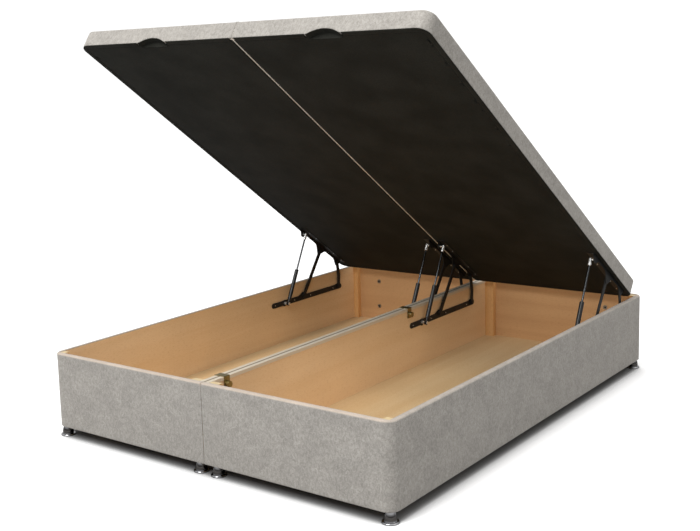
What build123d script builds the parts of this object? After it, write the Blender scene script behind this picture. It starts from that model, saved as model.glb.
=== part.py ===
from build123d import *
from math import atan2, cos, degrees, hypot, radians, sin
import os

# Lift-up storage bed base, drawn as it stands in use: the lid open on its gas lifts.
# X runs across the bed, Y runs from the foot (minus) to the head (plus), Z is up.
# The origin is on the floor, under the middle of the bed. All lengths are millimetres.

# Overall sizes
bed_width = 1500.0
bed_length = 2000.0
box_height = 283.0
glide_height = 39.0
lid_thickness = 68.0

# The lid's open stand, measured at the head end of its underside
lid_open_angle = 34.0
lid_open_shift = 116.0
lid_open_rise = 9.0
lid_closed_gap = 0.4

# Boards, fabric and the joint between the two halves
panel_thickness = 16.0
floor_thickness = 15.0
cover_wall = 3.0
cover_fold = 1.6
seam_half_gap = 0.4
board_gap = 0.1
cover_corner_radius = 40.0
cover_seam_radius = 8.0
cover_edge_radius = 3.0
seam_return = 40.0
hem_width = 45.0

# Corner posts
corner_post_size = 41.0
divider_post_width = 42.0
divider_post_depth = 24.0

# Glides under the posts
glide_inset = 28.0
divider_glide_x = 39.0
glide_flange_radius = 27.5
glide_flange_height = 6.0
glide_dome_radius = 20.5
glide_dome_bulge = 3.0
glide_top_radius = 13.0
stem_radius = 5.0
stem_length = 34.0
insert_radius = 6.0
insert_length = 24.0
insert_flange_radius = 8.5
insert_flange_thickness = 1.4

# Headboard fixing, one pair of bores in each head panel
headboard_bolt_inset = 158.0
headboard_lower_z = 123.0
headboard_spacing = 127.0
headboard_bore_radius = 4.0
headboard_insert_radius = 5.0
headboard_flange_radius = 10.0

# Channel and joining straps over the two divider panels
channel_thickness = 1.5
channel_leg = 12.0
strap_thickness = 2.0
strap_width = 28.0
strap_drop = 42.0
strap_bolt_drop = 26.0
foot_strap_inset = 110.0
head_strap_inset = 720.0
bolt_radius = 4.0
bolt_head_radius = 7.5
bolt_head_height = 5.0
knob_radius = 11.0
knob_length = 14.0

# Lid construction
lid_wall = 3.0
lid_top = 4.0
lid_edge_radius = 8.0
lid_seam_radius = 3.0
lid_hem_width = 14.0
lid_border_drop = 2.4
lid_border_inset = 2.0
lid_border_width = 17.0
lining_thickness = 1.6
strip_half_width = 6.0
lid_rail_width = 56.0
deck_thickness = 6.0
slat_width = 60.0
slat_thickness = 20.0
slat_count = 8
hand_hold_width = 132.0
hand_hold_height = 20.0
hand_hold_depth = 30.0
lid_bolt_level = 20.0
lid_bolt_shares = (0.25, 0.5, 0.75)

# Hinge plates, as distances in from the face of the panel that carries them
bar_thickness = 3.0
web_clear = 3.2
web_thickness = 2.4
plate_gap = 0.3
arm_thickness = 4.0
strut_clear = 1.2
head_thickness = 2.5
head_radius = 8.0
pin_radius = 4.0
running_gap = 0.05
open_gap = 0.4

# Base bar, seen from the side: its depth below the box's top, and places from the head end
bar_height = 24.0
bar_depth = 80.0
bar_foot_inset = 715.0
bar_head_inset = 158.0
boss_radius = 11.0
bar_lobe_radius = 15.0
bar_lobe_root = 48.0
bar_screw_insets = (692.0, 545.0, 418.0, 230.0)

# Pivots: depths below the box's top, places (s) along the lid from its head end,
# and drops below its underside
front_base_depth = 70.0
rear_base_depth = 78.0
strut_base_inset = 620.0
strut_base_depth = 81.0
front_pivot_s = 247.0
front_pivot_drop = 35.0
rear_pivot_s = 85.0
rear_pivot_drop = 18.5
strut_pivot_s = 411.0
strut_pivot_drop = 16.0

# Arms and lid rails
arm_width = 20.0
rear_arm_bend = 7.0
rear_arm_bend_share = 0.47
rail_foot_s = 437.0
rail_head_s = 60.0
rail_web_depth = 9.0
rail_flange_width = 30.0
rail_flange_thickness = 2.4
rail_lobe_radius = 13.0
rail_lobe_root = 46.0
rail_scallop_radius = 40.0
rail_screw_places = (83.0, 162.0, 330.0, 388.0)
rail_screw_inset = 22.0

# Gas lift
cylinder_radius = 9.0
cylinder_wall = 1.5
cylinder_length = 168.0
cylinder_foot = 24.0
gland_thickness = 8.0
piston_thickness = 4.0
neck_radius = 4.5
eye_radius = 9.0
eye_thickness = 10.0
rod_radius = 4.0
fitting_radius = 6.5
fitting_length = 24.0
fitting_nose = 7.0
shoulder_radius = 6.5

# Screws
screw_radius = 2.4
screw_length = 12.0
screw_head_radius = 5.5
screw_head_height = 2.4
screw_head_taper = 35.0

# Cuts run past the faces that they open by this much
overrun = 1.0

# Levels and faces that the sizes above give
top_z = glide_height + box_height
board_low = glide_height + cover_fold
board_high = top_z - cover_fold
board_height = board_high - board_low
outer_x = bed_width / 2
end_y = bed_length / 2
board_outer_x = outer_x - cover_wall
board_end_y = end_y - cover_wall
inner_x = board_outer_x - panel_thickness
inner_y = board_end_y - panel_thickness
divider_near_x = seam_half_gap + cover_fold
divider_x = divider_near_x + panel_thickness
board_corner_radius = cover_corner_radius - cover_wall
post_inner_x = board_outer_x - corner_post_size
post_inner_y = board_end_y - corner_post_size
floor_top = board_low + floor_thickness
glide_y = end_y - glide_inset
corner_glide_x = outer_x - glide_inset
strap_bolt_z = top_z - strap_bolt_drop
bar_z = top_z - bar_depth
foot_strap_y = foot_strap_inset - end_y
head_strap_y = end_y - head_strap_inset
headboard_bolt_x = outer_x - headboard_bolt_inset
bar_foot_y = end_y - bar_foot_inset
bar_head_y = end_y - bar_head_inset
bar_screw_places = [end_y - inset for inset in bar_screw_insets]
channel_near = divider_x + plate_gap
channel_far = channel_near + channel_thickness

# The lid's own plane: X across, Y back along the lid, Z square to its underside
lid_turn = radians(lid_open_angle)
lid_head_y = end_y - lid_open_shift
lid_head_z = top_z + lid_open_rise
lid_normal = (0, sin(lid_turn), cos(lid_turn))
lid_forward = (0, -cos(lid_turn), sin(lid_turn))
lid_plane = Plane(origin=(0, lid_head_y, lid_head_z), x_dir=(1, 0, 0), z_dir=lid_normal)
lid_back = (0, cos(lid_turn), -sin(lid_turn))
lid_side = Plane(origin=lid_plane.origin, x_dir=lid_back, z_dir=(1, 0, 0))
lid_axis = Axis(lid_plane.origin, lid_normal)
frame_low = lid_border_drop + lining_thickness
deck_high = lid_thickness - lid_top
deck_low = deck_high - deck_thickness
lid_board_x = outer_x - lid_wall
lid_rail_x = lid_board_x - lid_rail_width
lid_foot_s = bed_length - lid_wall
lid_corner_radius = cover_corner_radius
lid_board_radius = lid_corner_radius - lid_wall
centre_rail_x = seam_half_gap + lid_rail_width
hand_hold_x = outer_x / 2


def lid_open_point(s, n):
    """Place (y, z) of a point of the open lid, s along its underside and n square to it."""
    y = lid_head_y - s * cos(lid_turn) + n * sin(lid_turn)
    z = lid_head_z + s * sin(lid_turn) + n * cos(lid_turn)
    return y, z


def lid_closed_point(s, n):
    """Place (y, z) of the same point when the lid lies shut on the box."""
    return end_y - s, top_z + lid_closed_gap + n


def base_pivot(s, n, height):
    """Pivot (y, z) at this height that is as far from the lid's pivot open as shut."""
    open_y, open_z = lid_open_point(s, n)
    shut_y, shut_z = lid_closed_point(s, n)
    half_sum = (open_y**2 + open_z**2 - shut_y**2 - shut_z**2) / 2
    return (half_sum - (open_z - shut_z) * height) / (open_y - shut_y), height


def turn(pivot, start, end):
    """Degrees that a link on this pivot turns from one place of its far end to the other."""
    before = atan2(start[1] - pivot[1], start[0] - pivot[0])
    after = atan2(end[1] - pivot[1], end[0] - pivot[0])
    return degrees(after - before)


front_base = base_pivot(front_pivot_s, -front_pivot_drop, top_z - front_base_depth)
rear_base = base_pivot(rear_pivot_s, -rear_pivot_drop, top_z - rear_base_depth)
strut_base = (end_y - strut_base_inset, top_z - strut_base_depth)
front_lid = lid_open_point(front_pivot_s, -front_pivot_drop)
rear_lid = lid_open_point(rear_pivot_s, -rear_pivot_drop)
strut_lid = lid_open_point(strut_pivot_s, -strut_pivot_drop)
strut_shut = lid_closed_point(strut_pivot_s, -strut_pivot_drop)
strut_open_length = hypot(strut_lid[0] - strut_base[0], strut_lid[1] - strut_base[1])
strut_shut_length = hypot(strut_shut[0] - strut_base[0], strut_shut[1] - strut_base[1])

# Layers of the hinge, in from the panel's face
boss_face = web_clear + web_thickness + plate_gap / 3
arm_near = boss_face + plate_gap
arm_far = arm_near + arm_thickness
head_near = arm_far + plate_gap
strut_axis = head_near + head_thickness + strut_clear + cylinder_radius
eye_near = strut_axis - eye_thickness / 2
eye_far = strut_axis + eye_thickness / 2

# Each hinge stands on one panel face and builds inwards from it
hinge_faces = {
    "left_side": (-inner_x, 1),
    "left_divider": (-divider_x, -1),
    "right_divider": (divider_x, 1),
    "right_side": (inner_x, -1),
}

os.makedirs("parts", exist_ok=True)
nodes = []


def finish(builder, label):
    """Label a finished piece and write it as one STEP file."""
    builder.part.label = label
    export_step(builder.part, f"parts/{label}.step")
    nodes.append(label)


def mirrored(builder):
    """The same piece on the other side of the bed's centre plane."""
    with BuildPart() as other:
        mirror(builder.part, about=Plane.YZ)
    return other


def box_between(low, high, mode=Mode.ADD):
    """Box between two opposite corners, in the frame of the current builder's plane."""
    spans = [b - a for a, b in zip(low, high)]
    with Locations(tuple(a + span / 2 for a, span in zip(low, spans))):
        Box(*spans, mode=mode)


def half_outline(near_x, far_x, low_y, high_y, near_radius, far_radius):
    """Plan of one half: a rectangle with rounded corners at its outer and inner sides."""
    with BuildSketch() as outline:
        with Locations(((near_x + far_x) / 2, (low_y + high_y) / 2)):
            Rectangle(far_x - near_x, high_y - low_y)
        if near_radius > 0:
            fillet(outline.vertices().group_by(Axis.X)[0], near_radius)
        fillet(outline.vertices().group_by(Axis.X)[-1], far_radius)
    return outline.sketch


def lobe(centre, radius, root_start, root_end, root_level):
    """Rounded lobe that widens to a straight root, as on the edge of a pressed plate."""
    with BuildSketch() as shape:
        with BuildLine():
            CenterArc(centre, radius, 0, 360)
            Line((root_start, root_level), (root_end, root_level))
        make_hull()
    return shape.sketch


def plate_plane(face, inward, depth):
    """Upright plane along the bed, this deep in from a hinge's panel face."""
    return Plane.YZ.offset(face + inward * depth)


def cross_pin(face, inward, start, end, place, radius, mode=Mode.ADD):
    """Round pin or bore square to the hinge plates, between two depths."""
    with BuildSketch(plate_plane(face, inward, start)) as end_face:
        with Locations(place):
            Circle(radius)
    extrude(end_face.sketch, amount=inward * (end - start), mode=mode)


def strut_frame(face, inward):
    """Plane with its Y axis up a gas lift and its origin at the lift's lower eye."""
    x = face + inward * strut_axis
    rise = (strut_lid[1] - strut_base[1]) / strut_open_length
    run = (strut_lid[0] - strut_base[0]) / strut_open_length
    return Plane(origin=(x, *strut_base), x_dir=(1, 0, 0), z_dir=(0, -rise, run))


def turned(frame, outline):
    """Revolve an outline of (radius, distance) points about the frame's own Y axis."""
    with BuildSketch(frame) as section:
        with BuildLine():
            Polyline(*outline, close=True)
        make_face()
    revolve(section.sketch, axis=Axis(frame.origin, frame.y_dir))


def row_at(level, places):
    """Places of a row of screws or bolts, as points along the bed at one level."""
    return [(place, level) for place in places]


def hand_hold(sign):
    """Cutter for the finger recess in the lid's free edge, on one half."""
    foot = Plane(
        origin=(0, *lid_open_point(bed_length + overrun, 0)), x_dir=(1, 0, 0), z_dir=lid_forward
    )
    centre = sign * hand_hold_x
    half = hand_hold_width / 2
    with BuildPart() as cutter:
        with BuildSketch(foot):
            with BuildLine():
                ThreePointArc((centre - half, 0), (centre, hand_hold_height), (centre + half, 0))
                Polyline(
                    (centre + half, 0),
                    (centre + half, -overrun),
                    (centre - half, -overrun),
                    (centre - half, 0),
                )
            make_face()
        extrude(amount=-(hand_hold_depth + overrun))
    return cutter.part


# Box of each half: the outer side panel stands between the two corner posts
with BuildPart() as right_side_panel:
    box_between((inner_x, -post_inner_y, board_low), (board_outer_x, post_inner_y, board_high))
    for place in row_at(bar_z, bar_screw_places):
        cross_pin(inner_x, 1, 0, screw_length, place, screw_radius, Mode.SUBTRACT)
finish(right_side_panel, "right_side_panel")
finish(mirrored(right_side_panel), "left_side_panel")

# Divider panels run the full length, and their ends are rounded under the fabric's return
with BuildPart() as right_divider_panel:
    with BuildSketch(Plane.XY.offset(board_low)):
        with Locations(((divider_near_x + divider_x) / 2, 0)):
            Rectangle(panel_thickness, 2 * board_end_y)
    extrude(amount=board_height)
    ends = right_divider_panel.edges().filter_by(Axis.Z).group_by(Axis.X)[0]
    fillet(ends, cover_seam_radius - cover_fold)
    for place in row_at(bar_z, bar_screw_places):
        cross_pin(divider_x, -1, 0, screw_length, place, screw_radius, Mode.SUBTRACT)
    for place in row_at(strap_bolt_z, (foot_strap_y, head_strap_y)):
        cross_pin(0, 1, 0, divider_x + overrun, place, bolt_radius + running_gap, Mode.SUBTRACT)
finish(right_divider_panel, "right_divider_panel")
finish(mirrored(right_divider_panel), "left_divider_panel")

with BuildPart() as right_foot_panel:
    box_between((divider_x, -board_end_y, board_low), (post_inner_x, -inner_y, board_high))
finish(right_foot_panel, "right_foot_panel")
finish(mirrored(right_foot_panel), "left_foot_panel")

headboard_holes = [
    (headboard_bolt_x, headboard_lower_z),
    (headboard_bolt_x, headboard_lower_z + headboard_spacing),
]


def head_bores(places, radius, depth, start=0, mode=Mode.SUBTRACT):
    """Round bores or barrels at the headboard fixings, running in from the head face."""
    with BuildSketch(Plane.XZ.offset(start - end_y)) as bores:
        with Locations(*places):
            Circle(radius)
    extrude(bores.sketch, amount=depth, mode=mode)


with BuildPart() as right_head_panel:
    box_between((divider_x, inner_y, board_low), (post_inner_x, board_end_y, board_high))
    bore_depth = cover_wall + panel_thickness + overrun
    head_bores(headboard_holes, headboard_insert_radius + running_gap, bore_depth)
finish(right_head_panel, "right_head_panel")
finish(mirrored(right_head_panel), "left_head_panel")

# Floor boards are notched round the posts
with BuildPart() as right_floor_board:
    box_between((divider_x, -inner_y, board_low), (inner_x, inner_y, floor_top))
    for sign in (-1, 1):
        box_between(
            (post_inner_x, min(sign * post_inner_y, sign * end_y), 0),
            (outer_x, max(sign * post_inner_y, sign * end_y), top_z),
            Mode.SUBTRACT,
        )
        batten_y = inner_y - divider_post_depth
        box_between(
            (0, min(sign * batten_y, sign * end_y), 0),
            (divider_x + divider_post_width, max(sign * batten_y, sign * end_y), top_z),
            Mode.SUBTRACT,
        )
finish(right_floor_board, "right_floor_board")
finish(mirrored(right_floor_board), "left_floor_board")

glide_places = [(x, sign * glide_y) for x in (divider_glide_x, corner_glide_x) for sign in (-1, 1)]

# Posts: rounded timber at the outer corners, flat battens beside the divider
post_middle_x = board_outer_x - corner_post_size / 2
post_middle_y = board_end_y - corner_post_size / 2
batten_middle_x = divider_x + divider_post_width / 2
batten_middle_y = inner_y - divider_post_depth / 2
with BuildPart() as right_corner_posts:
    for sign in (-1, 1):
        with BuildSketch(Plane.XY.offset(board_low)) as plan:
            with Locations((post_middle_x, sign * post_middle_y)):
                Rectangle(corner_post_size, corner_post_size)
            outer = plan.vertices().group_by(Axis.X)[-1].sort_by(Axis.Y)[0 if sign < 0 else -1]
            fillet(outer, board_corner_radius)
            with Locations((batten_middle_x, sign * batten_middle_y)):
                Rectangle(divider_post_width, divider_post_depth)
        extrude(amount=board_height)
    with BuildSketch(Plane.XY.offset(board_low)):
        with Locations(*glide_places):
            Circle(insert_radius + running_gap)
    extrude(amount=stem_length + overrun, mode=Mode.SUBTRACT)
    with BuildSketch(Plane.XY.offset(board_low)):
        with Locations(*glide_places):
            Circle(insert_flange_radius + running_gap)
    extrude(amount=insert_flange_thickness, mode=Mode.SUBTRACT)
    for sign in (-1, 1):
        box_between(
            (0, min(0, sign * end_y), top_z - channel_leg - plate_gap),
            (channel_far + plate_gap, max(0, sign * end_y), top_z),
            Mode.SUBTRACT,
        )
finish(right_corner_posts, "right_corner_posts")
finish(mirrored(right_corner_posts), "left_corner_posts")

# Fabric over three sides of each half, folded over the top edge and under the bottom
with BuildPart() as right_base_cover:
    with BuildSketch(Plane.XY.offset(glide_height)):
        add(half_outline(seam_half_gap, outer_x, -end_y, end_y, cover_seam_radius, cover_corner_radius))
    extrude(amount=box_height)
    rim = right_base_cover.faces().sort_by(Axis.Z)[-1].edges()
    fillet(rim.filter_by_position(Axis.X, cover_seam_radius, outer_x), cover_edge_radius)
    with BuildSketch(Plane.XY.offset(board_low)):
        add(
            half_outline(
                divider_near_x,
                board_outer_x,
                -board_end_y,
                board_end_y,
                cover_seam_radius - cover_fold,
                board_corner_radius,
            )
        )
    extrude(amount=board_height, mode=Mode.SUBTRACT)
    box_between((0, -inner_y, board_low), (inner_x, inner_y, top_z + overrun), Mode.SUBTRACT)
    box_between(
        (0, hem_width - end_y, glide_height - overrun),
        (outer_x - hem_width, end_y - hem_width, board_high),
        Mode.SUBTRACT,
    )
    box_between(
        (0, seam_return - end_y, glide_height - overrun),
        (divider_x, end_y - seam_return, top_z + overrun),
        Mode.SUBTRACT,
    )
    box_between((0, -inner_y, board_high), (divider_x, inner_y, top_z + overrun), Mode.SUBTRACT)
    head_bores(headboard_holes, headboard_insert_radius + running_gap, cover_wall + overrun)
    with BuildSketch(Plane.XY.offset(glide_height)):
        with Locations(*glide_places):
            Circle(insert_flange_radius + running_gap)
    extrude(amount=cover_fold, mode=Mode.SUBTRACT)
finish(right_base_cover, "right_base_cover")
finish(mirrored(right_base_cover), "left_base_cover")


# Chrome glides: a thin wide flange under a dome, with a threaded stem up into the post
def glide(x, y):
    """One glide, turned about its own upright axis."""
    edge = glide_flange_height / 2
    dome_middle = (glide_flange_height + glide_height) / 2
    foot = Plane(origin=(x, y, 0), x_dir=(1, 0, 0), z_dir=(0, -1, 0))
    with BuildPart() as body:
        with BuildSketch(foot):
            with BuildLine():
                Polyline((0, 0), (glide_flange_radius, 0), (glide_flange_radius, edge))
                ThreePointArc(
                    (glide_flange_radius, edge),
                    (glide_flange_radius - edge / 3, edge + edge * 2 / 3),
                    (glide_flange_radius - edge, glide_flange_height),
                )
                Line(
                    (glide_flange_radius - edge, glide_flange_height),
                    (glide_dome_radius, glide_flange_height),
                )
                ThreePointArc(
                    (glide_dome_radius, glide_flange_height),
                    ((glide_dome_radius + glide_top_radius) / 2 + glide_dome_bulge, dome_middle),
                    (glide_top_radius, glide_height),
                )
                Polyline(
                    (glide_top_radius, glide_height),
                    (stem_radius, glide_height),
                    (stem_radius, glide_height + stem_length),
                    (0, glide_height + stem_length),
                    (0, 0),
                )
            make_face()
        revolve(axis=Axis((x, y, 0), (0, 0, 1)))
    return body.part


with BuildPart() as glides:
    for x, y in glide_places:
        for side in (-1, 1):
            add(glide(side * x, y))
finish(glides, "glides")

# Threaded inserts: one in each post for a glide, two in each head panel for the headboard
with BuildPart() as threaded_inserts:
    every_glide = [(side * x, y) for x, y in glide_places for side in (-1, 1)]
    with BuildSketch(Plane.XY.offset(glide_height)):
        with Locations(*every_glide):
            Circle(insert_flange_radius)
    extrude(amount=cover_fold + insert_flange_thickness)
    with BuildSketch(Plane.XY.offset(board_low + insert_flange_thickness)):
        with Locations(*every_glide):
            Circle(insert_radius)
    extrude(amount=insert_length)
    with BuildSketch(Plane.XY.offset(glide_height)):
        with Locations(*every_glide):
            Circle(stem_radius + running_gap)
    extrude(amount=insert_length + overrun + cover_fold + insert_flange_thickness, mode=Mode.SUBTRACT)
    every_bolt = [(side * x, z) for x, z in headboard_holes for side in (-1, 1)]
    insert_back = cover_wall + panel_thickness
    head_bores(every_bolt, headboard_insert_radius, panel_thickness, cover_wall, Mode.ADD)
    head_bores(every_bolt, headboard_flange_radius, insert_flange_thickness, insert_back, Mode.ADD)
    head_bores(every_bolt, headboard_bore_radius, insert_back + insert_flange_thickness + overrun)
finish(threaded_inserts, "threaded_inserts")

# Pressed channel that caps the two divider panels
with BuildPart() as divider_channel:
    box_between(
        (-channel_far, plate_gap - inner_y, top_z - channel_leg),
        (channel_far, inner_y - plate_gap, top_z),
    )
    box_between(
        (-channel_near, -inner_y, top_z - channel_leg - overrun),
        (channel_near, inner_y, top_z - channel_thickness),
        Mode.SUBTRACT,
    )
    fillet(divider_channel.edges().filter_by(Axis.Y).group_by(Axis.Z)[-1], channel_thickness / 2)
finish(divider_channel, "divider_channel")

# Straps that pull the two halves together, and their bolts with a knurled knob
strap_near = channel_far + plate_gap / 3
strap_far = strap_near + strap_thickness
with BuildPart() as joining_straps:
    for y in (foot_strap_y, head_strap_y):
        low_y = y - strap_width / 2
        high_y = y + strap_width / 2
        box_between(
            (-strap_far, low_y, top_z - strap_drop),
            (strap_far, high_y, top_z + strap_thickness),
        )
        box_between(
            (-strap_near, low_y - overrun, top_z - strap_drop - overrun),
            (strap_near, high_y + overrun, top_z),
            Mode.SUBTRACT,
        )
    fillet(joining_straps.edges().filter_by(Axis.Y).group_by(Axis.Z)[-1], strap_thickness)
    for place in row_at(strap_bolt_z, (foot_strap_y, head_strap_y)):
        bolt_end = strap_far + overrun
        cross_pin(0, 1, -bolt_end, bolt_end, place, bolt_radius, Mode.SUBTRACT)
finish(joining_straps, "joining_straps")

with BuildPart() as strap_bolts:
    for place in row_at(strap_bolt_z, (foot_strap_y, head_strap_y)):
        cross_pin(0, 1, -strap_far, strap_far + knob_length / 2, place, bolt_radius)
        cross_pin(0, 1, strap_far, strap_far + knob_length, place, knob_radius)
        cross_pin(0, 1, -strap_far - bolt_head_height, -strap_far, place, bolt_head_radius)
finish(strap_bolts, "strap_bolts")


# Base bars: a slotted plate with two raised bosses that the arms bear on
def base_bar(face, inward):
    """Bar of one hinge, drawn from the side and built in from its panel."""
    half = bar_height / 2
    with BuildPart() as bar:
        with BuildSketch(plate_plane(face, inward, 0)) as side:
            with Locations(((bar_foot_y + bar_head_y) / 2, bar_z)):
                SlotOverall(bar_head_y - bar_foot_y, bar_height)
            for pivot in (front_base, rear_base, strut_base):
                root_end = min(pivot[0] + bar_lobe_root, bar_head_y - half)
                add(lobe(pivot, bar_lobe_radius, pivot[0] - bar_lobe_root, root_end, bar_z + half / 2))
            with Locations(*row_at(bar_z, bar_screw_places)):
                Circle(screw_radius, mode=Mode.SUBTRACT)
        extrude(amount=inward * bar_thickness)
        for pivot in (front_base, rear_base):
            cross_pin(face, inward, bar_thickness, boss_face, pivot, boss_radius)
        bore_end = boss_face + overrun
        for pivot in (front_base, rear_base, strut_base):
            cross_pin(face, inward, 0, bore_end, pivot, pin_radius + running_gap, Mode.SUBTRACT)
    return bar


# Arms: flat bars, the front one straight and the rear one bent back at the middle
def bent_bar(face, inward, places):
    """Flat bar through these places, with a round end and a pivot hole at both ends."""
    with BuildPart() as arm:
        with BuildSketch(plate_plane(face, inward, arm_near)):
            for start, end in zip(places, places[1:]):
                middle = ((start[0] + end[0]) / 2, (start[1] + end[1]) / 2)
                SlotCenterPoint(middle, end, arm_width)
            with Locations(places[0], places[-1]):
                Circle(pin_radius + running_gap, mode=Mode.SUBTRACT)
        extrude(amount=inward * arm_thickness)
    return arm


def rear_arm_places():
    """Ends of the rear arm and its bend, which stands back from the straight line."""
    run = rear_lid[0] - rear_base[0]
    rise = rear_lid[1] - rear_base[1]
    span = hypot(run, rise)
    bend_y = rear_base[0] + rear_arm_bend_share * run + rear_arm_bend * rise / span
    bend_z = rear_base[1] + rear_arm_bend_share * rise - rear_arm_bend * run / span
    return [rear_base, (bend_y, bend_z), rear_lid]


# Gas lift: a tube with a flat eye below, and a rod with its piston that slides out above
def gas_cylinder(face, inward):
    """Cylinder of one gas lift, with its eye on the stud of the base bar."""
    frame = strut_frame(face, inward)
    bore = cylinder_radius - cylinder_wall
    with BuildPart() as cylinder:
        turned(
            frame,
            [
                (0, eye_radius / 2),
                (neck_radius, eye_radius / 2),
                (neck_radius, cylinder_foot - cylinder_wall * 2),
                (cylinder_radius, cylinder_foot - cylinder_wall),
                (cylinder_radius, cylinder_length - cylinder_wall),
                (cylinder_radius - cylinder_wall, cylinder_length),
                (rod_radius + running_gap, cylinder_length),
                (rod_radius + running_gap, cylinder_length - gland_thickness),
                (bore, cylinder_length - gland_thickness),
                (bore, cylinder_foot + cylinder_wall),
                (0, cylinder_foot + cylinder_wall),
            ],
        )
        cross_pin(face, inward, eye_near, eye_far, strut_base, eye_radius)
        eye_bore = pin_radius + running_gap
        bore_end = eye_far + overrun
        cross_pin(face, inward, eye_near - overrun, bore_end, strut_base, eye_bore, Mode.SUBTRACT)
    return cylinder


def gas_rod(face, inward):
    """Rod and piston of one gas lift, drawn fully out."""
    frame = strut_frame(face, inward)
    bore = cylinder_radius - cylinder_wall
    piston_low = cylinder_length - gland_thickness - piston_thickness - plate_gap
    with BuildPart() as rod:
        turned(
            frame,
            [
                (0, piston_low),
                (bore - running_gap, piston_low),
                (bore - running_gap, piston_low + piston_thickness),
                (rod_radius, piston_low + piston_thickness),
                (rod_radius, strut_open_length - fitting_nose),
                (0, strut_open_length - fitting_nose),
            ],
        )
    return rod


def end_fitting(face, inward):
    """Bright socket on the rod's end, with a pin that points at the lid rail."""
    frame = strut_frame(face, inward)
    with BuildPart() as fitting:
        turned(
            frame,
            [
                (rod_radius, strut_open_length - fitting_length),
                (fitting_radius, strut_open_length - fitting_length),
                (fitting_radius, strut_open_length + fitting_nose / 2),
                (fitting_radius / 2, strut_open_length + fitting_nose),
                (0, strut_open_length + fitting_nose),
                (0, strut_open_length - fitting_nose),
                (rod_radius, strut_open_length - fitting_nose),
            ],
        )
        pin_end = web_clear + web_thickness + open_gap
        cross_pin(face, inward, pin_end, strut_axis - fitting_radius / 2, strut_lid, pin_radius)
    return fitting


# Lid rail: an angle with a scalloped web and a flange screwed under the lid
def lid_rail(face, inward):
    """Rail of one hinge, drawn in the lid's own plane."""
    pivots = [
        (-strut_pivot_s, -strut_pivot_drop),
        (-front_pivot_s, -front_pivot_drop),
        (-rear_pivot_s, -rear_pivot_drop),
    ]
    with BuildPart() as rail:
        with BuildSketch(lid_side.offset(face + inward * web_clear)) as web:
            root_level = (lid_border_drop - rail_web_depth) / 2
            with Locations((-(rail_foot_s + rail_head_s) / 2, root_level)):
                Rectangle(rail_foot_s - rail_head_s, lid_border_drop + rail_web_depth)
            for pivot in pivots:
                root_start = max(pivot[0] - rail_lobe_root, -rail_foot_s)
                root_end = min(pivot[0] + rail_lobe_root, -rail_head_s)
                add(lobe(pivot, rail_lobe_radius, root_start, root_end, root_level))
            notches = [v for v in web.vertices() if abs(v.Y + rail_web_depth) < running_gap]
            fillet([v for v in notches if pivots[0][0] < v.X < pivots[-1][0]], rail_scallop_radius)
            with Locations(pivots[1]):
                Circle(pin_radius + running_gap, mode=Mode.SUBTRACT)
        extrude(amount=inward * web_thickness)
        flange_near = face + inward * web_clear
        flange_far = face + inward * (web_clear + rail_flange_width)
        with BuildSketch(lid_plane.offset(lid_border_drop)) as flange:
            with Locations(((flange_near + flange_far) / 2, -(rail_foot_s + rail_head_s) / 2)):
                Rectangle(rail_flange_width, rail_foot_s - rail_head_s)
            screw_x = face + inward * (web_clear + rail_screw_inset)
            with Locations(*[(screw_x, -place) for place in rail_screw_places]):
                Circle(screw_radius, mode=Mode.SUBTRACT)
        extrude(amount=-rail_flange_thickness)
    return rail


for name, (face, inward) in hinge_faces.items():
    finish(base_bar(face, inward), f"{name}_base_bar")
    finish(bent_bar(face, inward, [front_base, front_lid]), f"{name}_front_arm")
    finish(bent_bar(face, inward, rear_arm_places()), f"{name}_rear_arm")
    finish(gas_cylinder(face, inward), f"{name}_gas_cylinder")
    finish(gas_rod(face, inward), f"{name}_gas_rod")
    finish(lid_rail(face, inward), f"{name}_lid_rail")

# Bright end fittings on the four rods
with BuildPart() as strut_end_fittings:
    for face, inward in hinge_faces.values():
        add(end_fitting(face, inward).part)
finish(strut_end_fittings, "strut_end_fittings")


# Pivot pins: a shank through both plates and a flat head outside the arm
def pivot_pins(place, start):
    """The same pin on each of the four hinges."""
    for face, inward in hinge_faces.values():
        cross_pin(face, inward, start, head_near, place, pin_radius)
        cross_pin(face, inward, head_near, head_near + head_thickness, place, head_radius)


with BuildPart() as base_pivot_pins:
    pivot_pins(front_base, plate_gap)
    pivot_pins(rear_base, plate_gap)
finish(base_pivot_pins, "base_pivot_pins")

with BuildPart() as lid_pivot_pins:
    pivot_pins(front_lid, web_clear + plate_gap)
finish(lid_pivot_pins, "lid_pivot_pins")

with BuildPart() as rear_arm_studs:
    pivot_pins(rear_lid, arm_near)
finish(rear_arm_studs, "rear_arm_studs")

# Studs that carry the lower eyes of the gas lifts
with BuildPart() as strut_studs:
    for face, inward in hinge_faces.values():
        cross_pin(face, inward, plate_gap, eye_far + plate_gap, strut_base, pin_radius)
        cross_pin(face, inward, bar_thickness, eye_near - plate_gap, strut_base, shoulder_radius)
        head_end = eye_far + head_thickness
        cross_pin(face, inward, eye_far + plate_gap, head_end, strut_base, shoulder_radius)
finish(strut_studs, "strut_studs")

# Screws of the base bars, driven into the panels
with BuildPart() as base_bar_screws:
    for face, inward in hinge_faces.values():
        for place in row_at(bar_z, bar_screw_places):
            cross_pin(face, inward, plate_gap - screw_length, bar_thickness, place, screw_radius)
            with BuildSketch(plate_plane(face, inward, bar_thickness)):
                with Locations(place):
                    Circle(screw_head_radius)
            extrude(amount=inward * screw_head_height, taper=screw_head_taper)
finish(base_bar_screws, "base_bar_screws")

# Screws of the lid rails, driven up through the lining into the lid's frame
rail_screw_points = []
for face, inward in hinge_faces.values():
    for place in rail_screw_places:
        rail_screw_points.append((face + inward * (web_clear + rail_screw_inset), -place))


def lid_screw_holes():
    """Pilot holes for the lid rails' screws."""
    with BuildSketch(lid_plane) as holes:
        with Locations(*rail_screw_points):
            Circle(screw_radius)
    extrude(holes.sketch, amount=screw_length, mode=Mode.SUBTRACT)


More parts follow.
